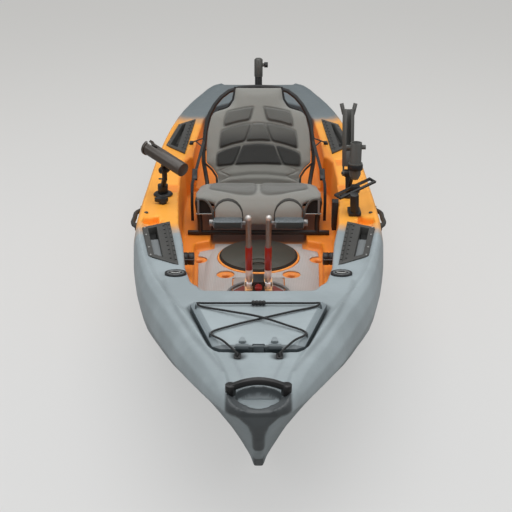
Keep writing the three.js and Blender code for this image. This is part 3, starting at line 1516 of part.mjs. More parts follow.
// Rudder on the transom: a bracket, a head that steers and a blade that kicks up
const transomY = along(1);
const rudderAxisY = transomY + 30;
const rudderPin = 6;
const headSpan = [raise(0.515), raise(0.745)];
const lugThickness = 14;
const bladePivotY = transomY + 76;
const bladePivotZ = raise(0.655);
const bladeHalf = 6;
const headHalf = 15;
const bladePin = 5;
const bladeBottom = 34;

function makeRudderBracket() {
  const [low, high] = headSpan;
  const plate = block([-34, 34], [transomY - overrun, transomY + 8],
    [low - 50, high + lugThickness + gap]);
  const lugs = [[low - gap - lugThickness, low - gap], [high + gap, high + gap + lugThickness]]
    .map((span) => join(block([-13, 13], [transomY, rudderAxisY], span),
      rod([0, rudderAxisY, span[0]], [0, rudderAxisY, span[1]], 13, 16)));
  const pin = rod([0, rudderAxisY, low - lugThickness], [0, rudderAxisY, high + lugThickness],
    rudderPin, 12);
  return cut(join(plate, ...lugs, pin), hullSkin);
}

function makeRudderHead() {
  const [low, high] = headSpan;
  const barrel = rod([0, rudderAxisY, low], [0, rudderAxisY, high], 15, 18);
  const body = block([-headHalf, headHalf], [rudderAxisY + 2, bladePivotY + 16],
    [bladePivotZ - 18, bladePivotZ + 18]);
  const slot = block([-bladeHalf - gap, bladeHalf + gap],
    [bladePivotY - 19, bladePivotY + overrun], [0, depth]);
  const pin = rod([-headHalf, bladePivotY, bladePivotZ], [headHalf, bladePivotY, bladePivotZ],
    bladePin, 12);
  const bore = rod([0, rudderAxisY, 0], [0, rudderAxisY, depth], rudderPin + gap, 12);
  return cut(join(cut(join(barrel, body), slot), pin), bore);
}

function makeRudderBlade() {
  const outline = [
    [bladePivotY - 14, bladePivotZ + 8], [bladePivotY - 6, bladePivotZ + 16],
    [bladePivotY + 8, bladePivotZ + 15], [bladePivotY + 18, bladePivotZ],
    [bladePivotY + 70, bladePivotZ - 60], [bladePivotY + 74, bladePivotZ - 130],
    [bladePivotY + 60, bladeBottom + 14], [bladePivotY + 40, bladeBottom],
    [bladePivotY + 4, bladeBottom + 6], [bladePivotY - 16, bladePivotZ - 60],
  ];
  const hole = rod([-overrun, bladePivotY, bladePivotZ], [overrun, bladePivotY, bladePivotZ],
    bladePin + gap, 12);
  return cut(sideways(outline, -bladeHalf, bladeHalf), hole);
}

addPart('rudder_bracket', makeRudderBracket(), 'black');
addPart('rudder_head', makeRudderHead(), 'black');
addPart('rudder_blade', makeRudderBlade(), 'rubber');

export default kayak;
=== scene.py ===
"""Looks of the pedal kayak: metres, +Z up, the bow points to -Y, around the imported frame."""

import math

import bmesh
import bpy
import numpy as np
from mathutils import Matrix, Vector


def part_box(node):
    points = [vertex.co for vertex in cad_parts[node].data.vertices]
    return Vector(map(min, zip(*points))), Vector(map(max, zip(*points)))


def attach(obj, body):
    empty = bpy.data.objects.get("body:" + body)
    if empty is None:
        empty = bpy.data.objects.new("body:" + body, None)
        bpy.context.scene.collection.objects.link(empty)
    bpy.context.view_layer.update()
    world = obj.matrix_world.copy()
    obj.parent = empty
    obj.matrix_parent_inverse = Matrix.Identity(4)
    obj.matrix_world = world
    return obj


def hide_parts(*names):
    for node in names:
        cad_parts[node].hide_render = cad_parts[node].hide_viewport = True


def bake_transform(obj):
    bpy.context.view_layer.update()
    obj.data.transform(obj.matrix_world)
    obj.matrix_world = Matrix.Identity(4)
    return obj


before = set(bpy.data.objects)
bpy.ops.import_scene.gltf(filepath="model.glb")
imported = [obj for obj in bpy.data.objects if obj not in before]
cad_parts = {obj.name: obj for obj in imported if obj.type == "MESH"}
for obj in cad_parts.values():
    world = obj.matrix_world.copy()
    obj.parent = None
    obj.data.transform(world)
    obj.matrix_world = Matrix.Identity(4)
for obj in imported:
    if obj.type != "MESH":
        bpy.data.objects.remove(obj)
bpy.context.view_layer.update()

# The main sizes and places, which the CAD source holds in millimetres
HULL_LENGTH = 3.470
HULL_BEAM = 0.920
HULL_DEPTH = 0.460
HULL_MIDDLE = -0.075
DRIVE_Y = -0.6389
FLOOR_Z = 0.190
LEDGE_Z = 0.228
SHAFT_Z = 0.2243
CRANK_TOP = 0.492
SOCKET_TOP = SHAFT_Z + 0.24 * (CRANK_TOP - SHAFT_Z)
SIDES = {"left": -1, "right": 1}

# The bow hatch's lid on plan: one side edge, its front edge and the width of its slopes
LID_SIDE = ((0.1219, -1.508), (0.1955, -1.2617))
LID_FRONT = -1.522
LID_SLOPE = 0.018


def along(share):
    """Place along the hull, from a share of its half length."""
    return share * HULL_LENGTH / 2 + HULL_MIDDLE


def abeam(share):
    """Place across the hull, from a share of its half beam."""
    return share * HULL_BEAM / 2


def up(share):
    """Height, from a share of the hull's depth."""
    return share * HULL_DEPTH


def srgb(red, green, blue):
    """Linear colour of a display colour given from 0 to 255."""
    def linear(value):
        value /= 255
        return value / 12.92 if value <= 0.04045 else ((value + 0.055) / 1.055) ** 2.4
    return (linear(red), linear(green), linear(blue), 1.0)


GREY = srgb(150, 161, 165)
# A darker grey, used towards the stern and as painted shade on the lower hull and the lid's slopes
GREY_DARK = srgb(104, 115, 120)
# Grey in painted shade, for the inner walls of the cockpit and cargo well aft of the seat
GREY_IN_SHADE = srgb(78, 84, 88)
SHADED = srgb(43, 46, 48)
ORANGE = srgb(255, 174, 62)
# Orange in painted shade, for the cockpit's inner walls and the side decks' recessed steps
ORANGE_IN_SHADE = srgb(236, 118, 28)
BACKDROP = srgb(220, 219, 216)
FLOOR_LIGHT = srgb(224, 224, 223)
SCUFFED = srgb(206, 208, 208)

# The scale, detail and roughness of the shell's two noises
SHELL_CLOUD = (5.0, 5.0, 0.62)
SHELL_GRIT = (46.0, 4.0, 0.6)

# Where the grey gives way to orange along the hull, at each end and inside the cockpit
FORE_CHANGE = (-0.66, -0.52)
AFT_CHANGE = (1.00, 0.80)
INNER_CHANGE = (0.80, 0.60)

# Node trees


class Nodes:
    """A short way to write a material's node tree."""

    def __init__(self, name):
        self.material = bpy.data.materials.new(name)
        self.material.use_nodes = True
        self.tree = self.material.node_tree
        self.shader = self.tree.nodes["Principled BSDF"]

    def add(self, kind, **values):
        """A node of that kind, with its sockets set by name or linked."""
        node = self.tree.nodes.new(kind)
        for key, value in values.items():
            if key.startswith("set_"):
                setattr(node, key[4:], value)
            else:
                self.put(node.inputs[key.replace("_", " ")], value)
        return node

    def put(self, socket, value):
        """Links an output to the socket, or sets its value."""
        if isinstance(value, bpy.types.NodeSocket):
            self.tree.links.new(value, socket)
        else:
            socket.default_value = value

    def noise(self, scale, detail=3.0, roughness=0.5, vector=None):
        """Noise from 0 to 1 at a scale per metre."""
        place = vector or self.position()
        node = self.add("ShaderNodeTexNoise", Scale=scale, Detail=detail, Roughness=roughness)
        self.put(node.inputs["Vector"], place)
        return node.outputs["Fac"]

    def position(self):
        """The piece's own coordinates, in metres."""
        return self.add("ShaderNodeTexCoord").outputs["Object"]

    def axes(self):
        """The piece's own X, Y and Z."""
        return self.add("ShaderNodeSeparateXYZ", Vector=self.position()).outputs

    def facing(self, axis):
        """How far the surface faces along one of the piece's own axes."""
        normal = self.add("ShaderNodeTexCoord").outputs["Normal"]
        return self.add("ShaderNodeSeparateXYZ", Vector=normal).outputs[axis]

    def stored(self, label):
        """A value that the piece's points carry."""
        return self.add("ShaderNodeAttribute", set_attribute_name=label).outputs["Fac"]

    def math(self, operation, first, second=0.5):
        """One operation on two values."""
        node = self.add("ShaderNodeMath", set_operation=operation)
        self.put(node.inputs[0], first)
        self.put(node.inputs[1], second)
        return node.outputs[0]

    def times(self, first, second):
        """The product of two values."""
        return self.math("MULTIPLY", first, second)

    def plus(self, first, second):
        """The sum of two values."""
        return self.math("ADD", first, second)

    def ramp(self, value, low, high):
        """A smooth step from 0 to 1 of a value between two bounds."""
        node = self.add("ShaderNodeMapRange", set_interpolation_type="SMOOTHSTEP")
        for socket, number in zip(node.inputs, (value, low, high)):
            self.put(socket, number)
        return node.outputs["Result"]

    def mix(self, factor, first, second):
        """A blend of two colours."""
        node = self.add("ShaderNodeMix", set_data_type="RGBA")
        self.put(node.inputs[0], factor)
        self.put(node.inputs[6], first)
        self.put(node.inputs[7], second)
        return node.outputs[2]

    def bump(self, height, distance, strength, normal=None):
        """A bump of a height from 0 to 1, a distance deep in metres."""
        node = self.add("ShaderNodeBump", Height=height, Distance=distance, Strength=strength)
        if normal is not None:
            self.put(node.inputs["Normal"], normal)
        return node.outputs["Normal"]

    def finish(self, color, roughness, normal=None, **values):
        """Sets the shader's own sockets."""
        self.put(self.shader.inputs["Base Color"], color)
        self.put(self.shader.inputs["Roughness"], roughness)
        if normal is not None:
            self.put(self.shader.inputs["Normal"], normal)
        for key, value in values.items():
            self.put(self.shader.inputs[key.replace("_", " ")], value)
        return self.material


def darker(color, share):
    """The colour times a share."""
    return (color[0] * share, color[1] * share, color[2] * share, 1.0)


def moulded(name, color, roughness, grain=900.0, depth=0.00025, wear=0.25, **values):
    """Moulded plastic or rubber: fine grain, uneven gloss and scuffs a little paler."""
    nodes = Nodes(name)
    cloud = nodes.noise(6.0, 4.0, 0.6)
    scuffs = nodes.ramp(nodes.noise(38.0, 8.0, 0.75), 0.60, 0.74)
    pale = tuple(min(1.0, 0.75 * c + 0.09) for c in color[:3]) + (1.0,)
    base = nodes.mix(cloud, darker(color, 0.82), darker(color, 1.14))
    shade = nodes.mix(nodes.times(scuffs, wear), base, pale)
    gloss = nodes.plus(nodes.times(cloud, 0.16), roughness - 0.08)
    normal = nodes.bump(nodes.noise(grain, 2.0, 0.5), depth, 0.6)
    return nodes.finish(shade, gloss, normal, **values)


def shell_finish(nodes, color, fine):
    """The hull's satin orange-peel skin."""
    gloss = nodes.plus(nodes.times(fine, 0.18), 0.36)
    peel = nodes.bump(nodes.noise(240.0, 2.0, 0.5), 0.0004, 0.35, nodes.bump(fine, 0.0012, 0.25))
    return nodes.finish(color, gloss, peel, Coat_Weight=0.06, Coat_Roughness=0.35)


def hull_material():
    """Rotomoulded shell: grey ends that run into an orange middle."""
    nodes = Nodes("hull_plastic")
    _, y, z = nodes.axes()
    inside, shade, deep = (nodes.stored(label) for label in ("inside", "shade", "deep"))
    cloud = nodes.noise(*SHELL_CLOUD)
    fine = nodes.noise(*SHELL_GRIT)
    drift = nodes.times(nodes.math("SUBTRACT", cloud, 0.5), 0.16)
    grit = nodes.times(nodes.math("SUBTRACT", fine, 0.5), 0.07)
    place = nodes.plus(nodes.plus(y, drift), grit)
    middle = nodes.times(nodes.ramp(place, *FORE_CHANGE), nodes.ramp(place, *AFT_CHANGE))
    inner = nodes.times(inside, nodes.ramp(place, *INNER_CHANGE))
    orange_share = nodes.times(nodes.math("MAXIMUM", middle, inner), nodes.ramp(z, 0.06, 0.22))
    grey = nodes.mix(nodes.ramp(cloud, 0.35, 0.68), darker(GREY, 0.90), darker(GREY, 1.06))
    grey = nodes.mix(nodes.times(nodes.ramp(y, 0.70, 1.05), 0.80), grey, darker(GREY_DARK, 0.82))
    # Painted shade: the inner walls aft of the seat in a dark grey
    grey = nodes.mix(nodes.times(inside, nodes.ramp(y, 0.40, 0.75)), grey, GREY_IN_SHADE)
    # Painted shade: the grey grows darker towards the bottom of the hull
    grey = nodes.mix(nodes.times(nodes.ramp(z, 0.34, 0.04), 0.55), grey, GREY_DARK)
    orange = nodes.mix(nodes.ramp(cloud, 0.3, 0.7), ORANGE, darker(ORANGE, 0.92))
    # Painted shade: a darker orange on the cockpit's inner walls and in the side decks' recessed
    # steps
    orange = nodes.mix(nodes.math("MAXIMUM", nodes.times(inside, 0.55), deep), orange, ORANGE_IN_SHADE)
    # The stored shade is painted shade in the moulding's grooves and recesses, on the stem and under
    # the seat
    color = nodes.mix(shade, nodes.mix(orange_share, grey, orange), SHADED)
    scuffs = nodes.ramp(nodes.noise(70.0, 9.0, 0.8), 0.63, 0.72)
    color = nodes.mix(nodes.times(scuffs, 0.18), color, SCUFFED)
    return shell_finish(nodes, color, fine)


def lid_material():
    """The hull's grey on the bow hatch's lid, with painted shade on its slopes down to its sides and
    front, and on faces turned away from the top.
    """
    nodes = Nodes("lid_plastic")
    x, y, _ = nodes.axes()
    run = Vector(LID_SIDE[1]) - Vector(LID_SIDE[0])
    out = Vector((run.y, -run.x)).normalized()
    reach = nodes.plus(nodes.times(nodes.math("ABSOLUTE", x), out.x), nodes.times(y, out.y))
    edge = out.dot(Vector(LID_SIDE[0])) - LID_SLOPE
    side = nodes.ramp(reach, edge - 0.002, edge + 0.002)
    front = nodes.ramp(y, LID_FRONT + LID_SLOPE * 0.8, LID_FRONT + LID_SLOPE * 0.6)
    cloud = nodes.noise(*SHELL_CLOUD)
    color = nodes.mix(nodes.ramp(cloud, 0.35, 0.68), darker(GREY, 0.98), darker(GREY, 1.12))
    # Painted shade on the slopes to the sides and front, and on faces turned away from the top
    color = nodes.mix(nodes.times(side, 0.62), color, GREY_DARK)
    color = nodes.mix(nodes.times(front, 0.85), color, darker(GREY_DARK, 0.55))
    color = nodes.mix(nodes.ramp(nodes.facing("Z"), 0.90, 0.40), color, darker(GREY_DARK, 0.45))
    return shell_finish(nodes, color, nodes.noise(*SHELL_GRIT))


def new_object(name, data):
    """A new object of a mesh, curve, camera or light, linked to the scene."""
    piece = bpy.data.objects.new(name, data)
    bpy.context.scene.collection.objects.link(piece)
    return piece


def world_copy(name, node):
    """A copy of a CAD node's mesh in the row frame, as a new object."""
    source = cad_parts[node]
    bpy.context.view_layer.update()
    mesh = source.data.copy()
    mesh.transform(source.matrix_world)
    mesh.materials.clear()
    return new_object(name, mesh)


def apply_modifiers(piece):
    """Bakes the piece's modifiers into its mesh."""
    depsgraph = bpy.context.evaluated_depsgraph_get()
    depsgraph.update()
    baked = bpy.data.meshes.new_from_object(piece.evaluated_get(depsgraph))
    old = piece.data
    piece.modifiers.clear()
    piece.data = baked
    bpy.data.meshes.remove(old)
    return piece


def smooth(piece):
    """Smooth shading all over."""
    piece.data.polygons.foreach_set("use_smooth", [True] * len(piece.data.polygons))
    return piece


def meshed(name, points, faces):
    """A new object of those points and faces."""
    mesh = bpy.data.meshes.new(name)
    mesh.from_pydata(points, [], faces)
    return new_object(name, mesh)


def modelled(name, shape):
    """A new smooth object of a bmesh, which ends there."""
    mesh = bpy.data.meshes.new(name)
    shape.to_mesh(mesh)
    shape.free()
    return smooth(new_object(name, mesh))


def dress(piece, material, body="body", replaces=()):
    """Gives a piece its material and its body, and hides the CAD nodes that it stands for."""
    piece.data.materials.clear()
    piece.data.materials.append(material)
    if replaces:
        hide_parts(*replaces)
    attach(piece, body)
    return piece


# The hull's skin: the CAD shell without its inner faces, with rounded edges all over

BOW_BIN_DEPTH = 0.110
FLOOR_BIN_DEPTH = 0.045
FLOOR_HATCH_Y = -0.3248
LEVER_PLACE = (-0.3643, -0.2936)
HULL_VOXEL = 0.0055
FLOOR_MOUTH = (0.118, 0.136)
STEM_RADIUS = 0.009
COCKPIT_SHARES = [
    (-0.614, 0.370), (-0.568, 0.461), (-0.501, 0.517), (-0.369, 0.570), (-0.259, 0.635),
    (-0.073, 0.691), (0.058, 0.713), (0.190, 0.713), (0.403, 0.635), (0.576, 0.609),
    (0.720, 0.522), (0.778, 0.330),
]


def is_mouth_wall(face):
    """True for the upright faces round a hatch's mouth and round the steering lever's stem."""
    x, y, z = face.calc_center_median()
    if abs(face.normal.z) > 0.3:
        return False
    floor_mouth = FLOOR_MOUTH[0] < math.hypot(x, y - FLOOR_HATCH_Y) < FLOOR_MOUTH[1] and z > 0.17
    bow_mouth = -1.54 < y < -1.2 and abs(x) < 0.135 + 0.32 * (y + 1.535) and z > 0.41
    stem = math.dist((x, y), LEVER_PLACE) < STEM_RADIUS
    return floor_mouth or bow_mouth or stem


def hull_skin():
    """The outside of the hull as a closed mesh, with a shallow bin under each hatch."""
    skin = world_copy("hull_skin", "hull")
    mesh = bmesh.new()
    mesh.from_mesh(skin.data)
    bmesh.ops.remove_doubles(mesh, verts=mesh.verts, dist=1e-6)
    bmesh.ops.recalc_face_normals(mesh, faces=mesh.faces)
    inner = min((f for f in mesh.faces if f.normal.z > 0.9 and f.calc_center_median().z > 0.001),
                key=lambda f: f.calc_center_median().z)
    hidden, waiting = {inner}, [inner]
    while waiting:
        near = {f for edge in waiting.pop().edges for f in edge.link_faces} - hidden
        near = {f for f in near if not is_mouth_wall(f)}
        hidden |= near
        waiting += near
    bmesh.ops.delete(mesh, geom=list(hidden), context="FACES")
    rims = [edge for edge in mesh.edges if edge.is_boundary]
    filled = bmesh.ops.triangle_fill(mesh, edges=rims, use_beauty=True)["geom"]
    lids = [face for face in filled if isinstance(face, bmesh.types.BMFace)]
    for depth, found in (
        (BOW_BIN_DEPTH, [f for f in lids if f.calc_center_median().y < -1.1]),
        (FLOOR_BIN_DEPTH, [f for f in lids if -0.5 < f.calc_center_median().y < -0.1
                           and abs(f.calc_center_median().x) < 0.2]),
    ):
        sunk = bmesh.ops.extrude_face_region(mesh, geom=found)["geom"]
        points = [v for v in sunk if isinstance(v, bmesh.types.BMVert)]
        bmesh.ops.translate(mesh, verts=points, vec=(0, 0, -depth))
        bmesh.ops.delete(mesh, geom=found, context="FACES_KEEP_BOUNDARY")
    bmesh.ops.recalc_face_normals(mesh, faces=mesh.faces)
    mesh.to_mesh(skin.data)
    mesh.free()
    return skin


hull = hull_skin()
voxels = hull.modifiers.new("voxels", "REMESH")
voxels.mode = "VOXEL"
voxels.voxel_size = HULL_VOXEL
rounding = hull.modifiers.new("rounding", "SMOOTH")
rounding.factor = 0.5
rounding.iterations = 5
apply_modifiers(hull)
smooth(hull)


def cockpit_half(y):
    """Half width of the cockpit and the cargo well at a place along the hull."""
    shares = np.array(COCKPIT_SHARES)
    return np.interp(y, along(shares[:, 0]), abeam(shares[:, 1]), left=-1.0, right=-1.0)


# Marks of the moulding on plan: the line round the bow hatch, the deck's ridges, the lines on its
# crown, the half widths of the stem's painted shade by height, the recesses for the lacing's ends,
# and shallow steps let into the side decks as (x, y, half width, half length, depth)
LID_LINE = [(0, LID_FRONT), (0.0989, LID_FRONT), *LID_SIDE, (0.184, -1.2409), (0, -1.227)]
RIDGES = [(0.087, -1.641), (0.172, -1.459), (0.2266, -1.3085), (0.2755, -1.141), (0.292, -1.06)]
CROWN_LINES = [(0.040, -1.665), (0.062, -1.585)]
STEM_WIDTHS = [(0.20, 0.0135), (0.37, 0.0155), (0.400, 0.025), (0.425, 0.048), (0.436, 0.078),
               (0.450, 0.082)]
HOOK_PLACE = (0.052, -1.556)
ARCH = (-1.707, 0.056, 0.042)
SCOOP = (-1.750, 0.046, 0.018)
DECK_STEPS = [(0.378, -0.530, 0.030, 0.040, 0.008), (0.360, -0.095, 0.040, 0.050, 0.004),
              (0.366, 0.250, 0.030, 0.045, 0.006)]
PANEL_RISE = 0.0030
GROOVE_DEPTH = 0.004
CREASE_DEPTH = 0.0022
HOOK_DEPTH = 0.005
ARCH_DEPTH = 0.006


def line_distance(wide, y, line):
    """Distance on plan to a line of corners, which runs alike on both sides."""
    best = np.full(len(wide), 9.0)
    for (ax, ay), (bx, by) in zip(line, line[1:]):
        run = np.array([bx - ax, by - ay])
        share = np.clip(((wide - ax) * run[0] + (y - ay) * run[1]) / (run @ run), 0, 1)
        best = np.minimum(best, np.hypot(wide - ax - share * run[0], y - ay - share * run[1]))
    return best


def step(values, low, high):
    """A smooth step from 0 to 1 between two bounds."""
    share = np.clip((values - low) / (high - low), 0, 1)
    return share * share * (3 - 2 * share)


def bell(distance, width, power=2):
    """1 at a line or place, falling off to nothing over a width or so."""
    return np.exp(-(distance / width) ** power)


def oval(x, y, mark, outside):
    """1 within an oval of (place along the hull, reach across, reach along), 0 outside it."""
    return step(np.hypot(x / mark[1], (y - mark[0]) / mark[2]), outside, 0.92)


def store(piece, label, values):
    """Stores a value for every point, for the materials."""
    made = piece.data.attributes.new(label, "FLOAT", "POINT")
    made.data.foreach_set("value", np.asarray(values, np.float32))


def coordinates(piece, kind="vertices", field="co"):
    """The points or normals of a piece as an array."""
    source = getattr(piece.data, kind)
    values = np.empty(len(source) * 3)
    source.foreach_get(field, values)
    return values.reshape(-1, 3)


def place_points(piece, points):
    """Moves a piece's points."""
    piece.data.vertices.foreach_set("co", np.asarray(points, float).ravel())
    piece.data.update()


def mark_hull(piece):
    """Presses the moulding's lines into the skin and stores where it lies inside the cockpit, and
    where painted shade darkens it or deepens its orange.
    """
    points = coordinates(piece).copy()
    x, y, z = points.T
    wide = np.abs(x)
    facing_up = step(coordinates(piece, "vertex_normals", "vector")[:, 2], 0.55, 0.85)
    deck = facing_up * step(z, 0.385, 0.395)
    bow = deck * step(y, -0.98, -1.02)
    lid = line_distance(wide, y, LID_LINE)
    ridge = line_distance(wide, y, RIDGES)
    crown = line_distance(wide, y, CROWN_LINES)
    groove = bow * bell(lid - 0.006, 0.007)
    crease = bow * bell(ridge, 0.008)
    hook = bow * bell(np.hypot(wide - HOOK_PLACE[0], y - HOOK_PLACE[1]), 0.020, 4)
    arch = deck * oval(x, y, ARCH, 1.05) * step(y, -1.722, -1.714)
    ridge_at = np.interp(y, [at for _, at in RIDGES], [across for across, _ in RIDGES])
    panel = bow * step(ridge_at - wide, -0.006, 0.008) * step(y, -1.70, -1.64)
    scoop = oval(x, y, SCOOP, 1.12)
    # Painted shade on the brow before the handle and down the stem, kept off the pale scoop
    brow = step(y, -1.744, -1.750) * step(z, 0.420, 0.432) * step(wide, 0.083, 0.076) * (1 - scoop)
    heights, widths = zip(*STEM_WIDTHS)
    half = np.interp(z, heights, widths)
    stem = step(y, -1.45, -1.55) * step(wide, half + 0.003, half - 0.003) * step(z, 0.449, 0.443)
    stem *= np.maximum(1 - facing_up, step(y, -1.772, -1.780)) * (1 - scoop)
    steps, sunk = np.zeros(len(x)), np.zeros(len(x))
    for across, aft, half_width, half_length, depth in DECK_STEPS:
        inner = np.maximum(np.abs(wide - across) / half_width, np.abs(y - aft) / half_length)
        here = deck * step(inner, 1.10, 0.86)
        steps = np.maximum(steps, here)
        sunk = np.maximum(sunk, here * depth)
    points[:, 2] += (PANEL_RISE * panel - GROOVE_DEPTH * groove - CREASE_DEPTH * crease
                     - HOOK_DEPTH * hook)
    points[:, 2] -= ARCH_DEPTH * arch + sunk
    place_points(piece, points)
    depth_in = np.clip((cockpit_half(y) + 0.006 - wide) / 0.008, 0, 1)
    below_deck = np.clip((0.405 - z) / 0.012, 0, 1)
    above_bottom = np.clip((z - 0.15) / 0.02, 0, 1)
    store(piece, "inside", depth_in * below_deck * above_bottom)
    # A painted shadow on the floor under the seat
    under_seat = step(wide, 0.27, 0.24) * step(y, -0.21, -0.15) * step(y, 0.22, 0.12)
    under_seat *= step(z, 0.32, 0.24) * step(z, 0.15, 0.17)
    # Painted shade: round the lid, in creases and recesses, on the brow and stem, and under the seat
    dark = [0.92 * bow * bell(lid, 0.008), 0.22 * crease, 0.16 * bow * bell(crown, 0.005),
            0.85 * hook, 0.50 * arch, 0.90 * brow, 0.80 * stem, 0.80 * under_seat]
    store(piece, "shade", np.max(dark, axis=0))
    # The painted shade of the side decks' recessed steps
    store(piece, "deep", 0.6 * steps)


mark_hull(hull)
dress(hull, hull_material(), "body", ["hull"])

# Camera, lights and floor

CAMERA_PLACE = (0.0, -3.702, 1.660)
CAMERA_DIP = math.radians(23.4)
CAMERA_LENS = 66.8
CAMERA_SHIFT = -0.0049
FLOOR_GLOW = 0.62
WORLD_STRENGTH = 0.55

# Each lamp's place, aim, size and power
LAMPS = {
    "top": ((0.0, -0.6, 4.6), (0, 0, 0.2), (5.0, 6.0), 190),
    "left": ((-4.2, -3.0, 3.4), (0, -0.4, 0.3), (3.0, 3.0), 55),
    "right": ((4.2, -2.6, 3.4), (0, -0.4, 0.3), (3.0, 3.0), 46),
}


def camera():
    """The photograph's view: above the bow, looking aft and down."""
    data = bpy.data.cameras.new("camera")
    data.lens = CAMERA_LENS
    data.sensor_width = 36
    data.shift_x = CAMERA_SHIFT
    data.clip_end = 100
    piece = new_object("camera", data)
    piece.location = CAMERA_PLACE
    piece.rotation_euler = (math.pi / 2 - CAMERA_DIP, 0, 0)
    bpy.context.scene.camera = piece


def lamp(name, place, aim, size, power):
    """A large soft lamp that points at a place."""
    data = bpy.data.lights.new(name, "AREA")
    data.shape = "RECTANGLE"
    data.size, data.size_y = size
    data.energy = power
    piece = new_object(name, data)
    piece.location = place
    piece.rotation_euler = (Vector(aim) - Vector(place)).to_track_quat("-Z", "Y").to_euler()


def floor_and_world():
    """A plain floor, which the camera sees paler than the light does, and a world of its tone."""
    bpy.ops.mesh.primitive_grid_add(x_subdivisions=8, y_subdivisions=8, size=60,
                                    location=(0, 12, -0.0005))
    ground = bpy.context.object
    ground.name = "floor"
    nodes = Nodes("floor")
    nodes.finish(srgb(158, 157, 156), 0.9)
    tone = nodes.mix(nodes.ramp(nodes.axes()["Y"], -14.5, -9.0), FLOOR_LIGHT, BACKDROP)
    seen = nodes.add("ShaderNodeEmission", Color=tone, Strength=1.0)
    lit = nodes.add("ShaderNodeBsdfDiffuse", Color=srgb(208, 208, 208))
    both = nodes.add("ShaderNodeMixShader", Fac=FLOOR_GLOW)
    nodes.put(both.inputs[1], lit.outputs[0])
    nodes.put(both.inputs[2], seen.outputs[0])
    looking = nodes.add("ShaderNodeLightPath").outputs["Is Camera Ray"]
    split = nodes.add("ShaderNodeMixShader", Fac=looking)
    nodes.put(split.inputs[1], nodes.shader.outputs[0])
    nodes.put(split.inputs[2], both.outputs[0])
    nodes.put(nodes.tree.nodes["Material Output"].inputs["Surface"], split.outputs[0])
    ground.data.materials.append(nodes.material)
    world = bpy.data.worlds.new("world")
    world.use_nodes = True
    back = world.node_tree.nodes["Background"]
    back.inputs["Color"].default_value = srgb(206, 206, 206)
    back.inputs["Strength"].default_value = WORLD_STRENGTH
    bpy.context.scene.world = world


camera()
for NAME, SETTINGS in LAMPS.items():
    lamp(NAME, *SETTINGS)
floor_and_world()
bpy.context.scene.view_settings.view_transform = "Standard"

# Materials of the fittings

BLACK_PLASTIC = moulded("black_plastic", srgb(25, 25, 26), 0.44)
BLACK_RUBBER = moulded("black_rubber", srgb(30, 30, 30), 0.72, 1400.0, 0.0003)
GRIP_RUBBER = moulded("grip_rubber", srgb(56, 55, 52), 0.60, 1100.0, 0.0004)
TRAY_PLASTIC = moulded("tray_plastic", srgb(66, 66, 64), 0.55, 260.0, 0.0006, 0.5)
TRAY_FLOOR = moulded("tray_floor", srgb(124, 129, 131), 0.60)
# Near black, as painted shade in openings and holes
SHADE_BLACK = moulded("shade_black", srgb(12, 12, 12), 0.75)
STEEL = moulded("steel", srgb(150, 150, 148), 0.25, 900.0, 0.0001, 0.2, Metallic=0.7)
HATCH_PLASTIC = moulded("hatch_plastic", srgb(70, 70, 63), 0.46, 500.0, 0.0004, 0.30)
ORANGE_PLASTIC = moulded("orange_plastic", srgb(255, 168, 78), 0.40, 600.0, 0.0003, 0.2)
RED_PLASTIC = moulded("red_plastic", srgb(150, 34, 36), 0.30, 500.0, 0.0001, 0.2, Coat_Weight=0.3)
RED_PATCH = moulded("red_patch", srgb(128, 58, 50), 0.60)
HOLDER_PLASTIC = moulded("holder_plastic", srgb(84, 84, 81), 0.42, 600.0, 0.0003, 0.3)
HOLDER_DARK = moulded("holder_dark", srgb(66, 59, 53), 0.34, 600.0, 0.0003, 0.3, Coat_Weight=0.2)
SEAT_TUBE = moulded("seat_tube", srgb(34, 34, 34), 0.38, 1500.0, 0.00015, 0.2)
RAIL_GREY = moulded("rail_grey", srgb(118, 121, 122), 0.45)
# The hinge's dark grey is painted shade, to match the shaded front slope of the lid
HINGE_SHADED = moulded("hinge_shaded", srgb(84, 92, 95), 0.5)
RAMP_GREY = moulded("ramp_grey", srgb(138, 148, 152), 0.45)
HARDWARE = moulded("hardware", srgb(58, 52, 46), 0.35)


def crank_material():
    """Bright tube with a polished ball top, in a pale cast socket."""
    nodes = Nodes("crank_metal")
    height = nodes.axes()["Z"]
    place = nodes.add("ShaderNodeMapping", Vector=nodes.position(), Scale=(1.0, 1.0, 0.06))
    streaks = nodes.noise(900.0, 2.0, 0.5, place.outputs["Vector"])
    cloud = nodes.noise(60.0, 4.0, 0.6)
    tube = nodes.mix(cloud, srgb(112, 111, 110), srgb(150, 150, 149))
    color = nodes.mix(nodes.ramp(height, SOCKET_TOP, SOCKET_TOP - 0.004), tube, srgb(226, 228, 230))
    color = nodes.mix(nodes.ramp(height, CRANK_TOP - 0.010, CRANK_TOP - 0.004), color,
                      srgb(214, 210, 206))
    gloss = nodes.plus(nodes.times(streaks, 0.16), 0.24)
    return nodes.finish(color, gloss, nodes.bump(streaks, 0.00015, 0.4), Metallic=0.45)


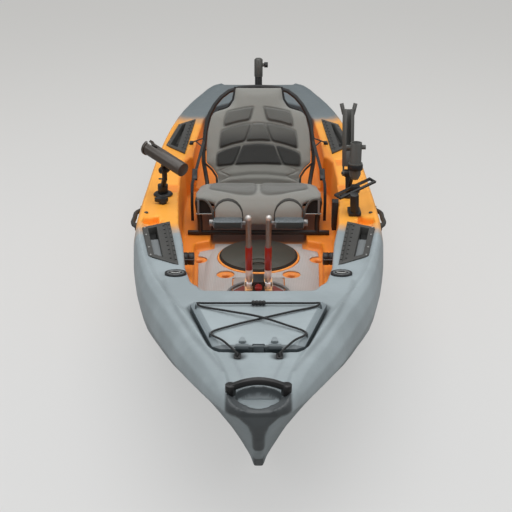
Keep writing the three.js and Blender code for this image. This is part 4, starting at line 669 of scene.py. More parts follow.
def spine_material():
    """The drive's base: a grey plate with a pale orange middle, under a black block."""
    nodes = Nodes("drive_base")
    x, y, z = nodes.axes()
    wide = nodes.math("ABSOLUTE", x)
    plate = nodes.times(nodes.ramp(wide, 0.0215, 0.0235),
                        nodes.ramp(z, SHAFT_Z - 0.017, SHAFT_Z - 0.019))
    plate = nodes.math("MAXIMUM", plate, nodes.ramp(y, DRIVE_Y + 0.035, DRIVE_Y + 0.037))
    cloud = nodes.noise(60.0, 4.0, 0.6)
    block = nodes.mix(cloud, srgb(22, 22, 23), srgb(36, 36, 37))
    middle = nodes.mix(cloud, srgb(250, 188, 124), srgb(255, 204, 146))
    outer = nodes.mix(cloud, srgb(158, 155, 151), srgb(176, 173, 170))
    color = nodes.mix(plate, block, nodes.mix(nodes.ramp(wide, 0.046, 0.052), middle, outer))
    normal = nodes.bump(nodes.noise(900.0, 2.0, 0.5), 0.0003, 0.6)
    return nodes.finish(color, nodes.plus(nodes.times(cloud, 0.15), 0.36), normal)


def mat_material():
    """Closed-cell foam: soft grain, and fine lengthways grooves with painted shade along them."""
    nodes = Nodes("foam_mat")
    wave = nodes.add("ShaderNodeTexWave", set_wave_type="BANDS", set_bands_direction="X",
                     Vector=nodes.position(), Scale=52.0, Distortion=0.0)
    grooves = nodes.ramp(wave.outputs["Fac"], 0.02, 0.16)
    cloud = nodes.noise(7.0, 5.0, 0.6)
    grain = nodes.noise(1300.0, 2.0, 0.6)
    color = nodes.mix(cloud, srgb(172, 170, 168), srgb(190, 188, 186))
    # Painted shade along the grooves
    color = nodes.mix(nodes.times(nodes.math("SUBTRACT", 1.0, grooves), 0.25), color,
                      srgb(120, 118, 116))
    normal = nodes.bump(grain, 0.0003, 0.5, nodes.bump(grooves, 0.0006, 0.5))
    return nodes.finish(color, 0.86, normal)


def pedal_material():
    """Grey plastic with pale and dark speckles, and a dark front edge."""
    nodes = Nodes("pedal_plastic")
    flecks = nodes.ramp(nodes.noise(210.0, 6.0, 0.7), 0.42, 0.62)
    dots = nodes.ramp(nodes.noise(560.0, 2.0, 0.6), 0.55, 0.62)
    color = nodes.mix(flecks, srgb(86, 92, 95), srgb(128, 136, 140))
    color = nodes.mix(nodes.times(dots, 0.55), color, srgb(62, 66, 68))
    color = nodes.mix(nodes.ramp(nodes.facing("Y"), -0.45, -0.75), color, srgb(38, 44, 44))
    return nodes.finish(color, 0.55, nodes.bump(flecks, 0.0006, 0.5))


def fabric(name, color, weave=1500.0, depth=0.0004, sheen=0.25, pad=None):
    """Woven cloth: crossed threads, soft mottling, lint, another colour on sewn pads and painted
    shade along their seams.
    """
    nodes = Nodes(name)
    place = nodes.position()
    waves = []
    for direction in ("DIAGONAL", "X", "Z"):
        wave = nodes.add("ShaderNodeTexWave", set_wave_type="BANDS",
                         set_bands_direction=direction, Vector=place, Scale=weave / 6.3,
                         Distortion=0.6)
        waves.append(wave.outputs["Fac"])
    threads = nodes.times(nodes.plus(waves[1], waves[2]), 0.5)
    threads = nodes.plus(nodes.times(waves[0], 0.3), threads)
    cloud = nodes.noise(14.0, 5.0, 0.6)
    lint = nodes.ramp(nodes.noise(420.0, 3.0, 0.7), 0.56, 0.75)

    def dyed(tone):
        shade = nodes.mix(cloud, darker(tone, 0.86), darker(tone, 1.12))
        shade = nodes.mix(nodes.times(threads, 0.22), darker(tone, 0.72), shade)
        pale = tuple(min(1.0, c + 0.10) for c in tone[:3]) + (1.0,)
        return nodes.mix(nodes.times(lint, 0.25), shade, pale)

    shade = dyed(color)
    if pad:
        shade = nodes.mix(nodes.stored("pad"), shade, dyed(pad))
        # Painted shade along the seams
        shade = nodes.mix(nodes.times(nodes.stored("seam"), 0.35), shade, darker(pad, 0.6))
    wrinkle = nodes.bump(nodes.noise(30.0, 4.0, 0.6), 0.0016, 0.4)
    normal = nodes.bump(threads, depth, 0.7, wrinkle)
    return nodes.finish(shade, 0.82, normal, Sheen_Weight=sheen, Sheen_Roughness=0.5)


CORD = fabric("cord_braid", srgb(34, 35, 36), 3600.0, 0.0003, 0.1)
WEBBING = fabric("webbing", srgb(42, 42, 42), 2600.0, 0.0005, 0.15)

# CAD nodes that keep their shape, with rounded edges

BEVEL = 0.0014


def refine(node, material, width=BEVEL, angle=38, segments=2):
    """A CAD node's material, with its edges rounded for the light."""
    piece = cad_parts[node]
    if not piece.material_slots:
        piece.data.materials.append(material)
    for index in range(len(piece.material_slots)):
        piece.material_slots[index].material = material
    smooth(piece)
    piece.modifiers.new("weld", "WELD").merge_threshold = 1e-5
    edge = piece.modifiers.new("edge", "BEVEL")
    edge.width = width
    edge.segments = segments
    edge.limit_method = "ANGLE"
    edge.angle_limit = math.radians(angle)
    edge.harden_normals = True
    edge.miter_outer = "MITER_ARC"


def pairs(*names):
    """The left and right node of each name."""
    return [f"{name}_{side}" for name in names for side in SIDES]


# The nodes, their material and, where they differ, the width, least angle and steps of their edges
REFINED = [
    (pairs("pad_eye", "fin_drum", "deck_fitting", "wall_cleat"), BLACK_PLASTIC),
    (["bow_cord_toggle", "steering_lever", "rod_base", "rod_arm", "holder_clamp", "gear_post",
      "gear_frame", "wall_bracket", "stern_base", "stern_knob", "rudder_bracket", "rudder_head",
      "bow_handle"], BLACK_PLASTIC),
    (pairs("fin") + ["bow_hatch_seal", "rudder_blade"], BLACK_RUBBER),
    (pairs("pedal_strap", "side_handle"), GRIP_RUBBER, 0.002),
    (["seat_frame", "backrest_frame"], SEAT_TUBE, 0.001),
    (pairs("tray_front", "tray_rear"), TRAY_PLASTIC, 0.0015),
    (["hatch_lid"], HATCH_PLASTIC, 0.002),
    (["hatch_rim"], ORANGE_PLASTIC, 0.002),
    (["floor_mat"], mat_material(), 0.0015),
    (["bow_hatch_lid"], lid_material(), 0.0085, 30, 4),
    (["drive_dial"], RED_PLASTIC),
    (["bow_hatch_hinge"], HINGE_SHADED),
    (["drive_spine"], spine_material()),
    (pairs("crank"), crank_material(), 0.0012, 50),
    (pairs("crank_sleeve"), RED_PLASTIC, 0.0008, 60),
    (pairs("pedal"), pedal_material(), 0.004, 30, 3),
    (["rod_tube"], HOLDER_DARK, 0.0012, 45),
    (["tall_tube", "short_tube"], HOLDER_PLASTIC, 0.0012, 45),
    (["stern_clamp"], HOLDER_PLASTIC, 0.0015, 45),
]
for NODES, *LOOK in REFINED:
    for NODE in NODES:
        refine(NODE, *LOOK)

# Soft pieces: closed grids over a path, puffed by cloth pressure, then sewn

CLOTH_PRESSURE = 4.0
CLOTH_FRAMES = 20


def lerp(first, second, low, high, times):
    """A point between two, from the times at which they are passed."""
    share = (times - low) / (high - low)
    return first * (1 - share) + second * share


def spline(points, steps=24):
    """A smooth line through the points (centripetal Catmull-Rom), with even spacing."""
    knots = np.asarray(points, float)
    knots = np.vstack([2 * knots[0] - knots[1], knots, 2 * knots[-1] - knots[-2]])
    line = []
    for i in range(len(knots) - 3):
        a, b, c, d = knots[i:i + 4]
        ta, tb = 0.0, math.dist(a, b) ** 0.5
        tc = tb + math.dist(b, c) ** 0.5
        td = tc + math.dist(c, d) ** 0.5
        for t in np.linspace(tb, tc, steps, endpoint=i == len(knots) - 4):
            ab, bc, cd = lerp(a, b, ta, tb, t), lerp(b, c, tb, tc, t), lerp(c, d, tc, td, t)
            line.append(lerp(lerp(ab, bc, ta, tc, t), lerp(bc, cd, tb, td, t), tb, tc, t))
    line = np.array(line)
    reach = np.concatenate([[0], np.cumsum(np.linalg.norm(np.diff(line, axis=0), axis=1))])
    even = np.linspace(0, reach[-1], len(line))
    return np.stack([np.interp(even, reach, axis) for axis in line.T], axis=1)


def at_share(line, share):
    """Points and directions at shares of an evenly spaced line."""
    where = np.asarray(share, float) * (len(line) - 1)
    places = np.stack([np.interp(where, np.arange(len(line)), axis) for axis in line.T], axis=-1)
    slopes = np.gradient(line, axis=0)
    turns = np.stack([np.interp(where, np.arange(len(line)), axis) for axis in slopes.T], axis=-1)
    return places, turns / np.linalg.norm(turns, axis=-1, keepdims=True)


def pillow(name, path, half_width, front, back, columns, rows, foot=0.0):
    """A closed form over a path in the plane X = 0, thick in its middle, which stores each place."""
    line = spline(path)
    near_edge = np.linspace(-1, 1, columns + 1)
    u = near_edge * (1.3 - 0.3 * near_edge ** 2)
    near_end = np.linspace(-1, 1, rows + 1)
    v = 0.5 + 0.5 * near_end * (1.3 - 0.3 * near_end ** 2)
    places, turns = at_share(line, v)
    points, keys, facts = [], {}, []

    def point(side, i, j):
        edge = i in (0, columns) or j in (0, rows)
        key = (0 if edge else side, i, j)
        if key not in keys:
            bulge = 0.0 if edge else math.sqrt((1 - u[i] ** 6) * (1 - (2 * v[j] - 1) ** 8))
            lift = bulge * (front if side > 0 else -back)
            x = u[i] * half_width(v[j])
            y = places[j, 0] - turns[j, 1] * lift
            z = places[j, 1] + turns[j, 0] * lift
            keys[key] = len(points)
            points.append((x, y, z))
            facts.append((x, foot + (1 - foot) * v[j], 0.0 if edge else float(side)))
        return keys[key]

    faces = []
    for side in (1, -1):
        for j in range(rows):
            for i in range(columns):
                quad = [point(side, i, j), point(side, i + 1, j),
                        point(side, i + 1, j + 1), point(side, i, j + 1)]
                faces.append(quad if side > 0 else quad[::-1])
    piece = meshed(name, points, faces)
    for column, label in enumerate(("across", "share", "front")):
        store(piece, label, [fact[column] for fact in facts])
    return smooth(piece)


def attribute(piece, label):
    """A stored value of every point."""
    source = piece.data.attributes[label].data
    values = np.empty(len(source))
    source.foreach_get("value", values)
    return values


def puff(piece, cap):
    """Swells a piece by cloth pressure, and lets no point move further than the cap."""
    rest = coordinates(piece).copy()
    cloth = piece.modifiers.new("cloth", "CLOTH")
    cloth.settings.use_pressure = True
    cloth.settings.uniform_pressure_force = CLOTH_PRESSURE
    cloth.settings.effector_weights.gravity = 0.0
    cloth.settings.quality = 5
    cloth.settings.tension_stiffness = 20
    for frame_number in range(1, CLOTH_FRAMES + 1):
        bpy.context.scene.frame_set(frame_number)
    apply_modifiers(piece)
    bpy.context.scene.frame_set(1)
    moved = coordinates(piece) - rest
    moved -= moved.mean(axis=0)
    size = np.linalg.norm(moved, axis=1, keepdims=True)
    place_points(piece, rest + moved * np.minimum(1.0, cap / np.maximum(size, 1e-9)))
    finer = piece.modifiers.new("finer", "SUBSURF")
    finer.levels = finer.render_levels = 2
    return smooth(apply_modifiers(piece))


def soft_least(*distances, radius):
    """The least of some distances, rounded where two are alike."""
    total = sum(np.exp(-np.clip(d / radius, -40, 40)) for d in distances)
    return -radius * np.log(total)


def sew(piece, cells, height, seam, width, tone, folds):
    """Raises the front's sewn cells, draws in the seams and stores how dark each pad is and the
    painted shade along the seams.
    """
    x, share, front = (attribute(piece, label) for label in ("across", "share", "front"))
    inside = cells(x, share)
    raised = step(inside, 0.0, width)
    stitched = bell(inside + 0.0015, 0.0035)
    lift = height(x, share) * raised - seam * stitched + folds(x, share)
    facing = step(front, 0.0, 0.6)
    normals = coordinates(piece, "vertex_normals", "vector")
    place_points(piece, coordinates(piece) + normals * (lift * facing)[:, None])
    # 'seam' holds the painted shade along the seams
    for label, values in (("pad", step(inside, -0.001, 0.0015) * facing * tone(x, share)),
                          ("seam", stitched * facing)):
        store(piece, label, values)


def rope(name, points, radius, sides, steps=24, straight=False):
    """A closed tube along a smooth line, or along straight runs between the points."""
    line = np.asarray(points, float) if straight else spline(points, steps)
    curve = bpy.data.curves.new(name, "CURVE")
    curve.dimensions = "3D"
    curve.bevel_depth = radius
    curve.bevel_resolution = sides
    curve.use_fill_caps = True
    run = curve.splines.new("POLY")
    run.points.add(len(line) - 1)
    run.points.foreach_set("co", np.hstack([line, np.ones((len(line), 1))]).ravel())
    piece = new_object(name, curve)
    depsgraph = bpy.context.evaluated_depsgraph_get()
    mesh = bpy.data.meshes.new_from_object(piece.evaluated_get(depsgraph))
    bpy.data.objects.remove(piece)
    bpy.data.curves.remove(curve)
    return smooth(new_object(name, mesh))


# Backrest

RECLINE = np.array([along(0.117), up(0.655)])
BACK_TOP = np.array([along(0.228), up(1.545)])
BACK_HEIGHT = float(np.linalg.norm(BACK_TOP - RECLINE))
BACK_FOOT = 0.045
BACK_WIDTHS = [
    (0, 0.385), (0.10, 0.388), (0.17, 0.430), (0.24, 0.500), (0.40, 0.497), (0.55, 0.487),
    (0.70, 0.455), (0.755, 0.420), (0.775, 0.335), (0.80, 0.285), (0.87, 0.238), (1, 0.215),
]


def back_point(share, lift=0.0):
    """A place on the backrest's plane, and that far behind it."""
    run = (BACK_TOP - RECLINE) / BACK_HEIGHT
    place = RECLINE + (BACK_TOP - RECLINE) * share
    return (place[0] + run[1] * lift, place[1] - run[0] * lift)


def half_width(table):
    """A soft piece's half width at a share of its run, from (share, share of the half beam)."""
    shares, widths = zip(*table)
    return lambda v: abeam(np.interp(v, shares, widths))


back_half = half_width(BACK_WIDTHS)

# Rows of pads: the arches of their upper and lower seams as (share at the middle, drop),
# their outer sides, and the slanting seams that part them as (top, bottom)
BACK_PAD_ROWS = [dict(zip(("top", "bottom", "outer", "split"), row)) for row in (
    ((0.796, 1.7), (0.672, 2.9), (0.140, 0.150), (0.019, 0.035)),
    ((0.641, 2.8), (0.476, 2.83), (0.160, 0.169), (0.028, 0.055)),
    ((0.448, 2.84), (0.256, 0.9), (0.180, 0.184), (0.069, 0.104)),
)]


def row_place(row, x, v):
    """A row's upper and lower seams above each point's place across, and how far down it lies."""
    high, low = (middle - drop * x ** 2 for middle, drop in (row["top"], row["bottom"]))
    return high, low, np.clip((high - v) / (high - low), 0, 1)


def back_cells(x, v):
    """How far inside its sewn pad each point of the backrest lies, in metres."""
    best = np.full(len(x), -1.0)
    wide = np.abs(x)
    for number, row in enumerate(BACK_PAD_ROWS):
        high, low, down = row_place(row, x, v)
        outer, split = (a + (b - a) * down for a, b in (row["outer"], row["split"]))
        above, below = (high - v) * BACK_HEIGHT, (v - low) * BACK_HEIGHT
        side = soft_least(above, below, outer - wide, wide - split - 0.002, radius=0.005)
        best = np.maximum(best, side)
        if number:
            middle = soft_least(above, below, split - 0.002 - wide, radius=0.003)
            best = np.maximum(best, middle)
    return best


def back_height(x, v):
    """How far the backrest's pads stand out: most along their lower edges."""
    lift = np.zeros(len(x))
    for row in BACK_PAD_ROWS:
        high, low, down = row_place(row, x, v)
        near = (v < high + 0.01) & (v > low - 0.01)
        lift = np.maximum(lift, np.where(near, 0.0045 + 0.006 * down, 0))
    return lift


def back_creases(x, v):
    """Soft folds in the lumbar part and a shallow hollow up the middle."""
    arch = bell((v - 0.150 + 1.6 * x ** 2) * BACK_HEIGHT, 0.011)
    second = bell((v - 0.075 + 0.8 * x ** 2) * BACK_HEIGHT, 0.012)
    upright = bell(np.abs(x) - 0.148 + 0.02 * np.sin(v * 60), 0.008) * step(v, 0.03, 0.08)
    low = 1 - step(v, 0.20, 0.24)
    return -(0.0055 * arch + 0.003 * second + 0.0035 * upright) * low


def back_pad_tone_and_shade(x, v):
    """How dark the backrest's pads are: their own darker cloth, and painted shade towards the seat.
    """
    return 0.62 + 0.38 * step(v, 0.62, 0.40)


backrest = pillow("backrest_pad", [back_point(share) for share in (BACK_FOOT, 0.3, 0.65, 1)],
                  back_half, 0.018, 0.012, 48, 52, BACK_FOOT)
puff(backrest, 0.006)
sew(backrest, back_cells, back_height, 0.0032, 0.007, back_pad_tone_and_shade, back_creases)

# Seat

SEAT_PATH = [(along(y), up(z)) for y, z in (
    (-0.080, 0.609), (-0.070, 0.740), (-0.050, 0.815), (-0.018, 0.812), (0.045, 0.765),
    (0.108, 0.722))]
SEAT_WIDTHS = [(0, 0.370), (0.22, 0.385), (0.30, 0.545), (0.45, 0.560), (0.9, 0.545), (1, 0.500)]
SEAT_RUN = 0.39
SEAT_PAD_LIFT = 0.0045
SEAT_PAD_TONE = 0.50


def seat_cells(x, v):
    """How far inside one of the two oval pads each point of the seat lies."""
    wide = np.abs(x)
    front_edge = 0.285 + 0.17 * (wide / 0.2) ** 3
    return soft_least((v - front_edge) * SEAT_RUN, (0.885 - v) * SEAT_RUN, 0.200 - wide,
                      wide - 0.009, radius=0.012)


def seat_droop(x, v):
    """The front face sags between the legs, and the top dips where someone sits."""
    sag = 0.004 * np.sin(np.clip(v / 0.22, 0, 1) * math.pi) * np.cos(np.clip(x / 0.17, -1, 1) * 1.2)
    dip = -0.006 * np.exp(-(((np.abs(x) - 0.10) / 0.07) ** 2 + ((v - 0.66) / 0.2) ** 2))
    return sag + dip


seat = pillow("seat_cushion", SEAT_PATH, half_width(SEAT_WIDTHS), 0.016, 0.015, 48, 44)
puff(seat, 0.005)
sew(seat, seat_cells, lambda x, v: SEAT_PAD_LIFT, 0.0022, 0.009, lambda x, v: SEAT_PAD_TONE,
    seat_droop)

SEWN = fabric("seat_fabric", srgb(156, 156, 150), pad=srgb(44, 45, 43))
dress(backrest, SEWN, "backrest", ["backrest_pad"])
dress(seat, SEWN, "body", ["seat_cushion"])

# Piping round the backrest's upper and lower openings

PIPING_RADIUS = 0.0042


def edge_line(side, low, high):
    """A line along the backrest's side edge between two shares of its height."""
    return [(side * back_half(v), *back_point(BACK_FOOT + (1 - BACK_FOOT) * v))
            for v in np.linspace(low, high, 14)]


for SIDE, SIGN in SIDES.items():
    for LABEL, LOW, HIGH in (("upper", 0.765, 0.995), ("lower", 0.01, 0.26)):
        piping = rope(f"backrest_piping_{LABEL}_{SIDE}", edge_line(SIGN, LOW, HIGH),
                      PIPING_RADIUS, 3)
        dress(piping, BLACK_RUBBER, "backrest")

# Bow lacing, webbing and back cords

LACING_DECK, LACING_LOW, LACING_HIGH = 0.4547, 0.4643, 0.4668
LACING_RADIUS = 0.003
LACING_HALF = [
    (-0.052, -1.555, LACING_DECK), (-0.092, -1.508, LACING_LOW + 0.004),
    (-0.127, -1.456, LACING_LOW), (-0.070, -1.412, LACING_LOW), (0, -1.375, LACING_LOW),
    (0.090, -1.330, LACING_LOW), (0.168, -1.291, LACING_LOW), (0.174, -1.283, LACING_LOW + 0.004),
    (0.160, -1.281, LACING_HIGH), (0.100, -1.281, LACING_HIGH),
]
LACING_OTHER = [
    (-0.090, -1.330, LACING_LOW + 0.003), (0, -1.375, LACING_LOW + 0.008),
    (0.070, -1.412, LACING_LOW + 0.003), (0.127, -1.456, LACING_LOW),
    (0.092, -1.508, LACING_LOW + 0.004), (0.052, -1.555, LACING_DECK),
]
lacing = rope("bow_lacing", LACING_HALF + [(0, -1.281, LACING_HIGH)]
              + [(-x, y, z) for x, y, z in LACING_HALF[:5:-1]] + LACING_OTHER, LACING_RADIUS, 3, 10)
lacing.data.materials.append(CORD)
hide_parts("bow_shock_cord")
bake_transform(lacing)


def webbing(name, line, inner, outer, thickness):
    """A flat strap whose width lies across the hull, along a line in (y, z), drawn in at its top."""
    path = spline(line, 10)
    slopes = np.gradient(path, axis=0)
    slopes /= np.linalg.norm(slopes, axis=1, keepdims=True)
    lifts = np.stack([-slopes[:, 1], slopes[:, 0]], axis=1) * thickness / 2
    points = [(x - math.copysign(strap_lean(centre[1]), x), *place)
              for centre, lift in zip(path, lifts)
              for x, place in ((inner, centre + lift), (outer, centre + lift),
                               (outer, centre - lift), (inner, centre - lift))]
    faces = [[4 * i + j, 4 * i + (j + 1) % 4, 4 * i + 4 + (j + 1) % 4, 4 * i + 4 + j]
             for i in range(len(path) - 1) for j in range(4)]
    last = 4 * (len(path) - 1)
    faces += [[3, 2, 1, 0], [last, last + 1, last + 2, last + 3]]
    return meshed(name, points, faces)


def solid_box(name, centre, size, turn=0.0):
    """A block with rounded edges, turned about the X axis."""
    shape = bmesh.new()
    bmesh.ops.create_cube(shape, size=1.0)
    bmesh.ops.scale(shape, vec=size, verts=shape.verts)
    bmesh.ops.rotate(shape, matrix=Matrix.Rotation(turn, 3, "X"), verts=shape.verts)
    bmesh.ops.translate(shape, vec=centre, verts=shape.verts)
    bmesh.ops.bevel(shape, geom=shape.edges[:], offset=BOX_ROUNDING, segments=2, affect="EDGES",
                    profile=0.5)
    return modelled(name, shape)


def joined(name, *pieces):
    """One object out of several."""
    with bpy.context.temp_override(active_object=pieces[0], selected_editable_objects=list(pieces),
                                   selected_objects=list(pieces)):
        bpy.ops.object.join()
    pieces[0].name = name
    return pieces[0]


BOX_ROUNDING = 0.003
WEBBING_BEND = up(0.835)
WEBBING_X = (0.266, 0.278)
WEBBING_MIDDLE = sum(WEBBING_X) / 2
WEBBING_THICKNESS = 0.003
WEBBING_LEAN = 0.039
WEBBING_LINE = [
    back_point(0.50, 0.012), (along(0.105), up(0.985)), (along(0.040), WEBBING_BEND),
    (along(0.020), up(0.700)), (along(0.018), LEDGE_Z + 0.008),
]
BUCKLE_ENDS = np.array([(along(0.078), up(0.922)), (along(0.050), up(0.858))])
BUCKLE_SIZE = (0.022, 0.013)
BACK_CORD_FOOT = (0.3091, 0.520, 0.4025)
BACK_CORD_TOPS = [(0.2237, 0.52), (0.2250, 0.40)]
BACK_CORD_RADIUS = 0.0028
BACK_CORD_PLATE = (0.018, 0.040, 0.010)


def strap_lean(height):
    """How far the strap is drawn in towards the backrest at a height."""
    return WEBBING_LEAN * max(0.0, (height - WEBBING_BEND) / (WEBBING_LINE[0][1] - WEBBING_BEND))


for SIDE, SIGN in SIDES.items():
    strap = webbing(f"back_strap_run_{SIDE}", WEBBING_LINE,
                    *sorted(SIGN * x for x in WEBBING_X), WEBBING_THICKNESS)
    RISE = BUCKLE_ENDS[0] - BUCKLE_ENDS[1]
    PLACE = BUCKLE_ENDS.mean(axis=0)
    buckle = solid_box(f"back_buckle_{SIDE}",
                       (SIGN * (WEBBING_MIDDLE - strap_lean(PLACE[1])), *PLACE),
                       (BUCKLE_SIZE[0], math.hypot(*RISE), BUCKLE_SIZE[1]),
                       math.atan2(RISE[1], RISE[0]))
    strap.data.materials.append(WEBBING)
    buckle.data.materials.append(BLACK_PLASTIC)
    strap = joined(f"back_strap_run_{SIDE}", strap, buckle)
    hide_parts(f"back_strap_{SIDE}")
    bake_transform(strap)
    TOP, LOWER = ((SIGN * x, *back_point(share, 0.010)) for x, share in BACK_CORD_TOPS)
    FOOT = (SIGN * BACK_CORD_FOOT[0], *BACK_CORD_FOOT[1:])
    MEET = tuple(0.3 * t + 0.7 * f for t, f in zip(TOP, FOOT))
    cords = joined(f"back_cord_run_{SIDE}",
                   rope(f"back_cord_upper_{SIDE}", [TOP, MEET, FOOT], BACK_CORD_RADIUS, 3, 8, True),
                   rope(f"back_cord_lower_{SIDE}", [LOWER, MEET], BACK_CORD_RADIUS, 3, 8, True),
                   solid_box(f"back_cord_plate_{SIDE}", (FOOT[0], FOOT[1], FOOT[2] - 0.002),
                             BACK_CORD_PLATE))
    cords.data.materials.clear()
    cords.data.materials.append(CORD)
    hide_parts(f"back_cord_{SIDE}")
    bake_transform(cords)

# Details that the frame leaves plain

STUD_SIDES = 12
STUD_PROFILE = [(1.0, -0.4), (1.0, 0.5), (0.82, 1.0), (0.45, 1.0)]


def skirt(shape, low, high):
    """Joins two rings of points, one above the other, with faces."""
    for i in range(len(low)):
        shape.faces.new((low[i - 1], low[i], high[i], high[i - 1]))


def plate(name, outline, top, thickness, rounding):
    """A flat piece with rounded corners and edges, below a height."""
    shape = bmesh.new()
    upper = [shape.verts.new((x, y, top)) for x, y in outline]
    lower = [shape.verts.new((x, y, top - thickness)) for x, y in outline]
    shape.faces.new(upper)
    shape.faces.new(lower[::-1])
    skirt(shape, lower, upper)
    bmesh.ops.recalc_face_normals(shape, faces=shape.faces)
    bmesh.ops.bevel(shape, geom=shape.edges[:], offset=rounding, segments=3, affect="EDGES",
                    profile=0.5)
    return modelled(name, shape)


def studs(name, places, radius, height, dish):
    """Low round heads on upright axes, each with a dished middle."""
    shape = bmesh.new()
    turns = [2 * math.pi * i / STUD_SIDES for i in range(STUD_SIDES)]
    for place in places:
        rings = [[shape.verts.new((place[0] + radius * reach * math.cos(a),
                                   place[1] + radius * reach * math.sin(a),
                                   place[2] + height * lift)) for a in turns]
                 for reach, lift in STUD_PROFILE + [(0.30, 1.0 - dish)]]
        for low, high in zip(rings, rings[1:]):
            skirt(shape, low, high)
        shape.faces.new(rings[-1])
        shape.faces.new(rings[0][::-1])
    return modelled(name, shape)


def inset(outline, distance):
    """A convex outline drawn in by a distance."""
    middle = np.mean(outline, axis=0)
    lines = []
    for a, b in zip(outline, outline[1:] + outline[:1]):
        run = np.subtract(b, a)
        across = np.array([-run[1], run[0]]) / np.linalg.norm(run)
        if (middle - a) @ across < 0:
            across = -across
        lines.append((across, across @ a + distance))
    corners = []
    for (n1, d1), (n2, d2) in zip(lines[-1:] + lines[:-1], lines):
        corners.append(tuple(np.linalg.solve([n1, n2], [d1, d2])))
    return corners


def toward(a, b, distance):
    """The point that lies a distance from one point towards another."""
    run = np.subtract(b, a)
    return tuple(np.add(a, run / np.linalg.norm(run) * distance))


def ring(name, centre, reach, radius, height, turns=(0, 360), steps=28):
    """A round bead along an ellipse on plan, or along a part of it."""
    angles = np.radians(np.linspace(*turns, steps))
    closed = abs(turns[1] - turns[0]) == 360
    line = [(centre[0] + reach[0] * math.cos(a), centre[1] + reach[1] * math.sin(a), height)
            for a in angles]
    return rope(name, line, radius, 3, 3, closed)


TRAY_SHARES = {
    "front": [(0.887, -0.305), (0.687, -0.272), (0.556, -0.490), (0.783, -0.448)],
    "rear": [(0.915, 0.320), (0.713, 0.250), (0.683, 0.575), (0.850, 0.520)],
}
TRAY_EDGE = 0.019
TRAY_PANEL_DEPTH = {"front": 0.016, "rear": 0.034}
TRACK_WIDTH = 0.034
TRACK_ROWS = (0.0065, 0.0285)
TRACK_HOLES = 9
HOLE_RADIUS = 0.0036
SHELF_SHARE = 0.30
BIN_DEPTH = 0.024


def tray_details(end, side, sign):
    """A tray's shelf, a black plate as painted shade in the opening behind it, black discs as
    painted shade in the track's rows of holes, and the screws.
    """
    corners = [(sign * abeam(x), along(y)) for x, y in TRAY_SHARES[end]]
    outer_a, inner_a, inner_b, outer_b = corners
    top = float(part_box(f"tray_{end}_{side}")[1][2])
    pocket = inset([outer_a, toward(inner_a, outer_a, TRACK_WIDTH),
                    toward(inner_b, outer_b, TRACK_WIDTH), outer_b], TRAY_EDGE + 0.001)
    split = [toward(a, b, SHELF_SHARE * math.dist(a, b))
             for a, b in ((pocket[0], pocket[3]), (pocket[1], pocket[2]))]
    shelf = plate(f"tray_shelf_{end}_{side}", [split[0], split[1], pocket[2], pocket[3]],
                  top - TRAY_PANEL_DEPTH[end], 0.005, 0.0015)
    dress(shelf, TRAY_FLOOR if end == "front" else TRAY_PLASTIC)
    # A black plate low in the opening behind the shelf, as painted shade
    well = plate(f"tray_opening_shade_{end}_{side}", inset([pocket[0], pocket[1], split[1], split[0]], 0.002),
                 top - BIN_DEPTH, 0.008, 0.0035)
    dress(well, SHADE_BLACK)
    # Black dished discs on the track, as painted shade in its holes
    holes = []
    for distance in TRACK_ROWS:
        a, b = toward(inner_a, outer_a, distance), toward(inner_b, outer_b, distance)
        for share in np.linspace(0.09, 0.91, TRACK_HOLES):
            x, y = np.add(a, np.subtract(b, a) * share)
            holes.append((x, y, top + 0.0002))
    dress(studs(f"track_hole_shade_{end}_{side}", holes, HOLE_RADIUS, 0.0012, 1.5), SHADE_BLACK)
    ends = inset(corners, 0.0085)
    middles = [toward(outer_a, outer_b, 0.07), toward(outer_b, outer_a, 0.07)]
    screws = [ends[0], *((x - sign * 0.008, y) for x, y in middles), ends[3]]
    dress(studs(f"tray_screws_{end}_{side}", [(x, y, top) for x, y in screws],
                0.0042, 0.0016, 0.8), STEEL)


for SIDE, SIGN in SIDES.items():
    for END in TRAY_SHARES:
        tray_details(END, SIDE, SIGN)

FITTING_PLACE = (abeam(0.561), along(-0.540))


def deck_height(x, y):
    """The height of the hull's skin under a place on its deck."""
    return hull.ray_cast(Vector((x, y, 0.6)), Vector((0, 0, -1)))[1].z


def fitting_details(side, sign):
    """The pale inner rim of an oval deck fitting, and the bail across its dark middle."""
    top = float(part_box(f"deck_fitting_{side}")[1][2])
    centre = (sign * FITTING_PLACE[0], FITTING_PLACE[1])
    dress(ring(f"fitting_rim_{side}", centre, (0.0245, 0.0150), 0.0022, top - 0.0015), RAIL_GREY)
    dress(ring(f"fitting_bail_{side}", (centre[0], centre[1] + 0.004), (0.016, 0.010), 0.0028,
               top, (200, 340), 12), STEEL)


for SIDE, SIGN in SIDES.items():
    fitting_details(SIDE, SIGN)

# The dark seal round the floor hatch, the drive base's anti-slip and its two bent rails

GASKET_RADIUS = 0.1485
BASE_TOP = FLOOR_Z + 0.0085
PATCH = [(0.0500, -0.6000), (0.0560, -0.5960), (0.0890, -0.6350), (0.0890, -0.7400),
         (0.0500, -0.7400)]
BASE_RAIL_RADIUS = 0.0052
BASE_RAIL = [(0.0540, -0.5800), (0.0760, -0.5980), (0.0960, -0.6220), (0.1060, -0.6480),
             (0.1050, -0.6800), (0.1040, -0.7300)]

dress(ring("hatch_gasket", (0, FLOOR_HATCH_Y), (GASKET_RADIUS, GASKET_RADIUS),
           0.0034, FLOOR_Z + 0.0105, steps=60), BLACK_RUBBER)
for SIDE, SIGN in SIDES.items():
    OUTLINE = [(SIGN * x, y) for x, y in PATCH]
    dress(plate(f"drive_patch_{SIDE}", OUTLINE, BASE_TOP + 0.0012, 0.0010, 0.0004), RED_PATCH)
    LINE = [(SIGN * x, y, BASE_TOP + 0.005) for x, y in BASE_RAIL]
    dress(rope(f"drive_rail_{SIDE}", LINE, BASE_RAIL_RADIUS, 4, 8), RAIL_GREY)

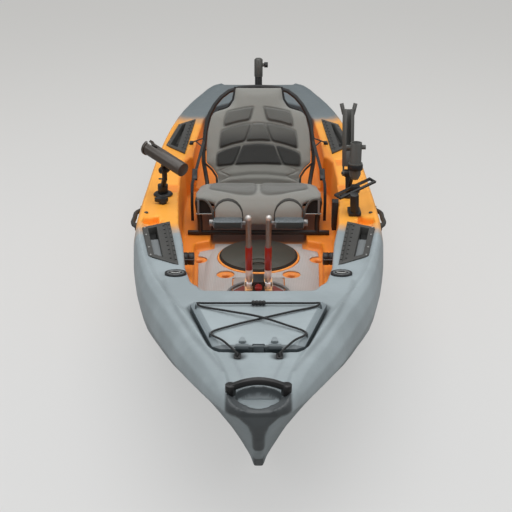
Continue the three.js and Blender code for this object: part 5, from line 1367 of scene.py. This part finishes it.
# The seat's front corners: a black sheet as painted shade in the opening under each wing, its
# bound edge, and two tubes before it: a bar and a pale tube as painted sheen on the frame's upright

OPENING_Y = -0.206
OPENING_EDGE = [(0.181, 0.322), (0.184, 0.345), (0.193, 0.367), (0.208, 0.384), (0.226, 0.389),
                (0.244, 0.385)]
# Each tube's two ends as (x, z), how far it lies before the opening, its radius and material
CORNER_TUBES = {
    "bar": ((0.184, 0.3285), (0.246, 0.3285), 0.003, 0.0030, STEEL),
    # The pale post is painted sheen on the black frame's upright
    "post": ((0.237, 0.326), (0.236, 0.386), 0.002, 0.0046, RAIL_GREY),
}


def seat_corner(side, sign):
    """A black sheet as painted shade in a corner, its piping, the bar, and the upright's painted
    sheen.
    """
    edge = spline([(sign * x, OPENING_Y, z) for x, z in OPENING_EDGE], 5)
    foot = np.array([sign * 0.244, OPENING_Y + 0.004, 0.322])
    points = [tuple(foot)] + [tuple(point + (0, 0.004, 0)) for point in edge]
    back = [(x, y + 0.003, z) for x, y, z in points]
    count = len(points)
    faces = [(0, i, i + 1) for i in range(1, count - 1)]
    faces += [(count + c, count + b, count + a) for a, b, c in faces]
    faces += [(i, (i - 1) % count, count + (i - 1) % count, count + i) for i in range(count)]
    # A black sheet across the opening, as painted shade
    dress(meshed(f"seat_corner_shade_sheet_{side}", points + back, faces), SHADE_BLACK)
    hem = rope(f"seat_corner_hem_{side}", [tuple(point) for point in edge], PIPING_RADIUS, 3, 4)
    dress(hem, SEAT_HEM)
    for part, (start, end, drop, radius, material) in CORNER_TUBES.items():
        line = [(sign * x, OPENING_Y - drop, z) for x, z in (start, end)]
        dress(rope(f"seat_corner_{part}_{side}", line, radius, 3, 4, True), material)


SEAT_HEM = fabric("seat_hem", srgb(96, 96, 92), 2200.0)
for SIDE, SIGN in SIDES.items():
    seat_corner(SIDE, SIGN)

# Small hardware: deck screws, the ramps on the bow hatch's lid and the cleats' seams

DECK_SCREWS = [(0.4145, -0.419), (0.405, 0.020), (0.390, 0.275)]
for SIDE, SIGN in SIDES.items():
    PLACES = [(SIGN * x, y, deck_height(SIGN * x, y) + 0.0008) for x, y in DECK_SCREWS]
    dress(studs(f"deck_screws_{SIDE}", PLACES, 0.0075, 0.0030, 0.9), HARDWARE)

RAMP = [(-0.0105, -1.5125), (0.0105, -1.5125), (0.0050, -1.490), (-0.0050, -1.490)]
RAMP_X = 0.0423
LID_TOP = float(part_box("bow_hatch_lid")[1][2])
for SIDE, SIGN in SIDES.items():
    OUTLINE = [(SIGN * RAMP_X + x, y) for x, y in RAMP]
    dress(plate(f"lid_ramp_{SIDE}", OUTLINE, LID_TOP + 0.0030, 0.0080, 0.0026), RAMP_GREY, "bow_lid")

for SIDE, SIGN in SIDES.items():
    LOW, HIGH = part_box(f"wall_cleat_{SIDE}")
    WALL, NOSE = (LOW[0], HIGH[0]) if SIGN < 0 else (HIGH[0], LOW[0])
    FRONT, RISE = LOW[1] - 0.0002, (LOW[2] + HIGH[2]) / 2 + 0.006
    LINE = [(WALL + (NOSE - WALL) * s, FRONT, RISE) for s in (0.12, 0.5, 0.90)]
    LINE += [(NOSE - SIGN * 0.0006, FRONT + back, RISE) for back in (0.006, 0.030)]
    dress(rope(f"cleat_seam_{SIDE}", LINE, 0.0013, 3, 6), RAIL_GREY)
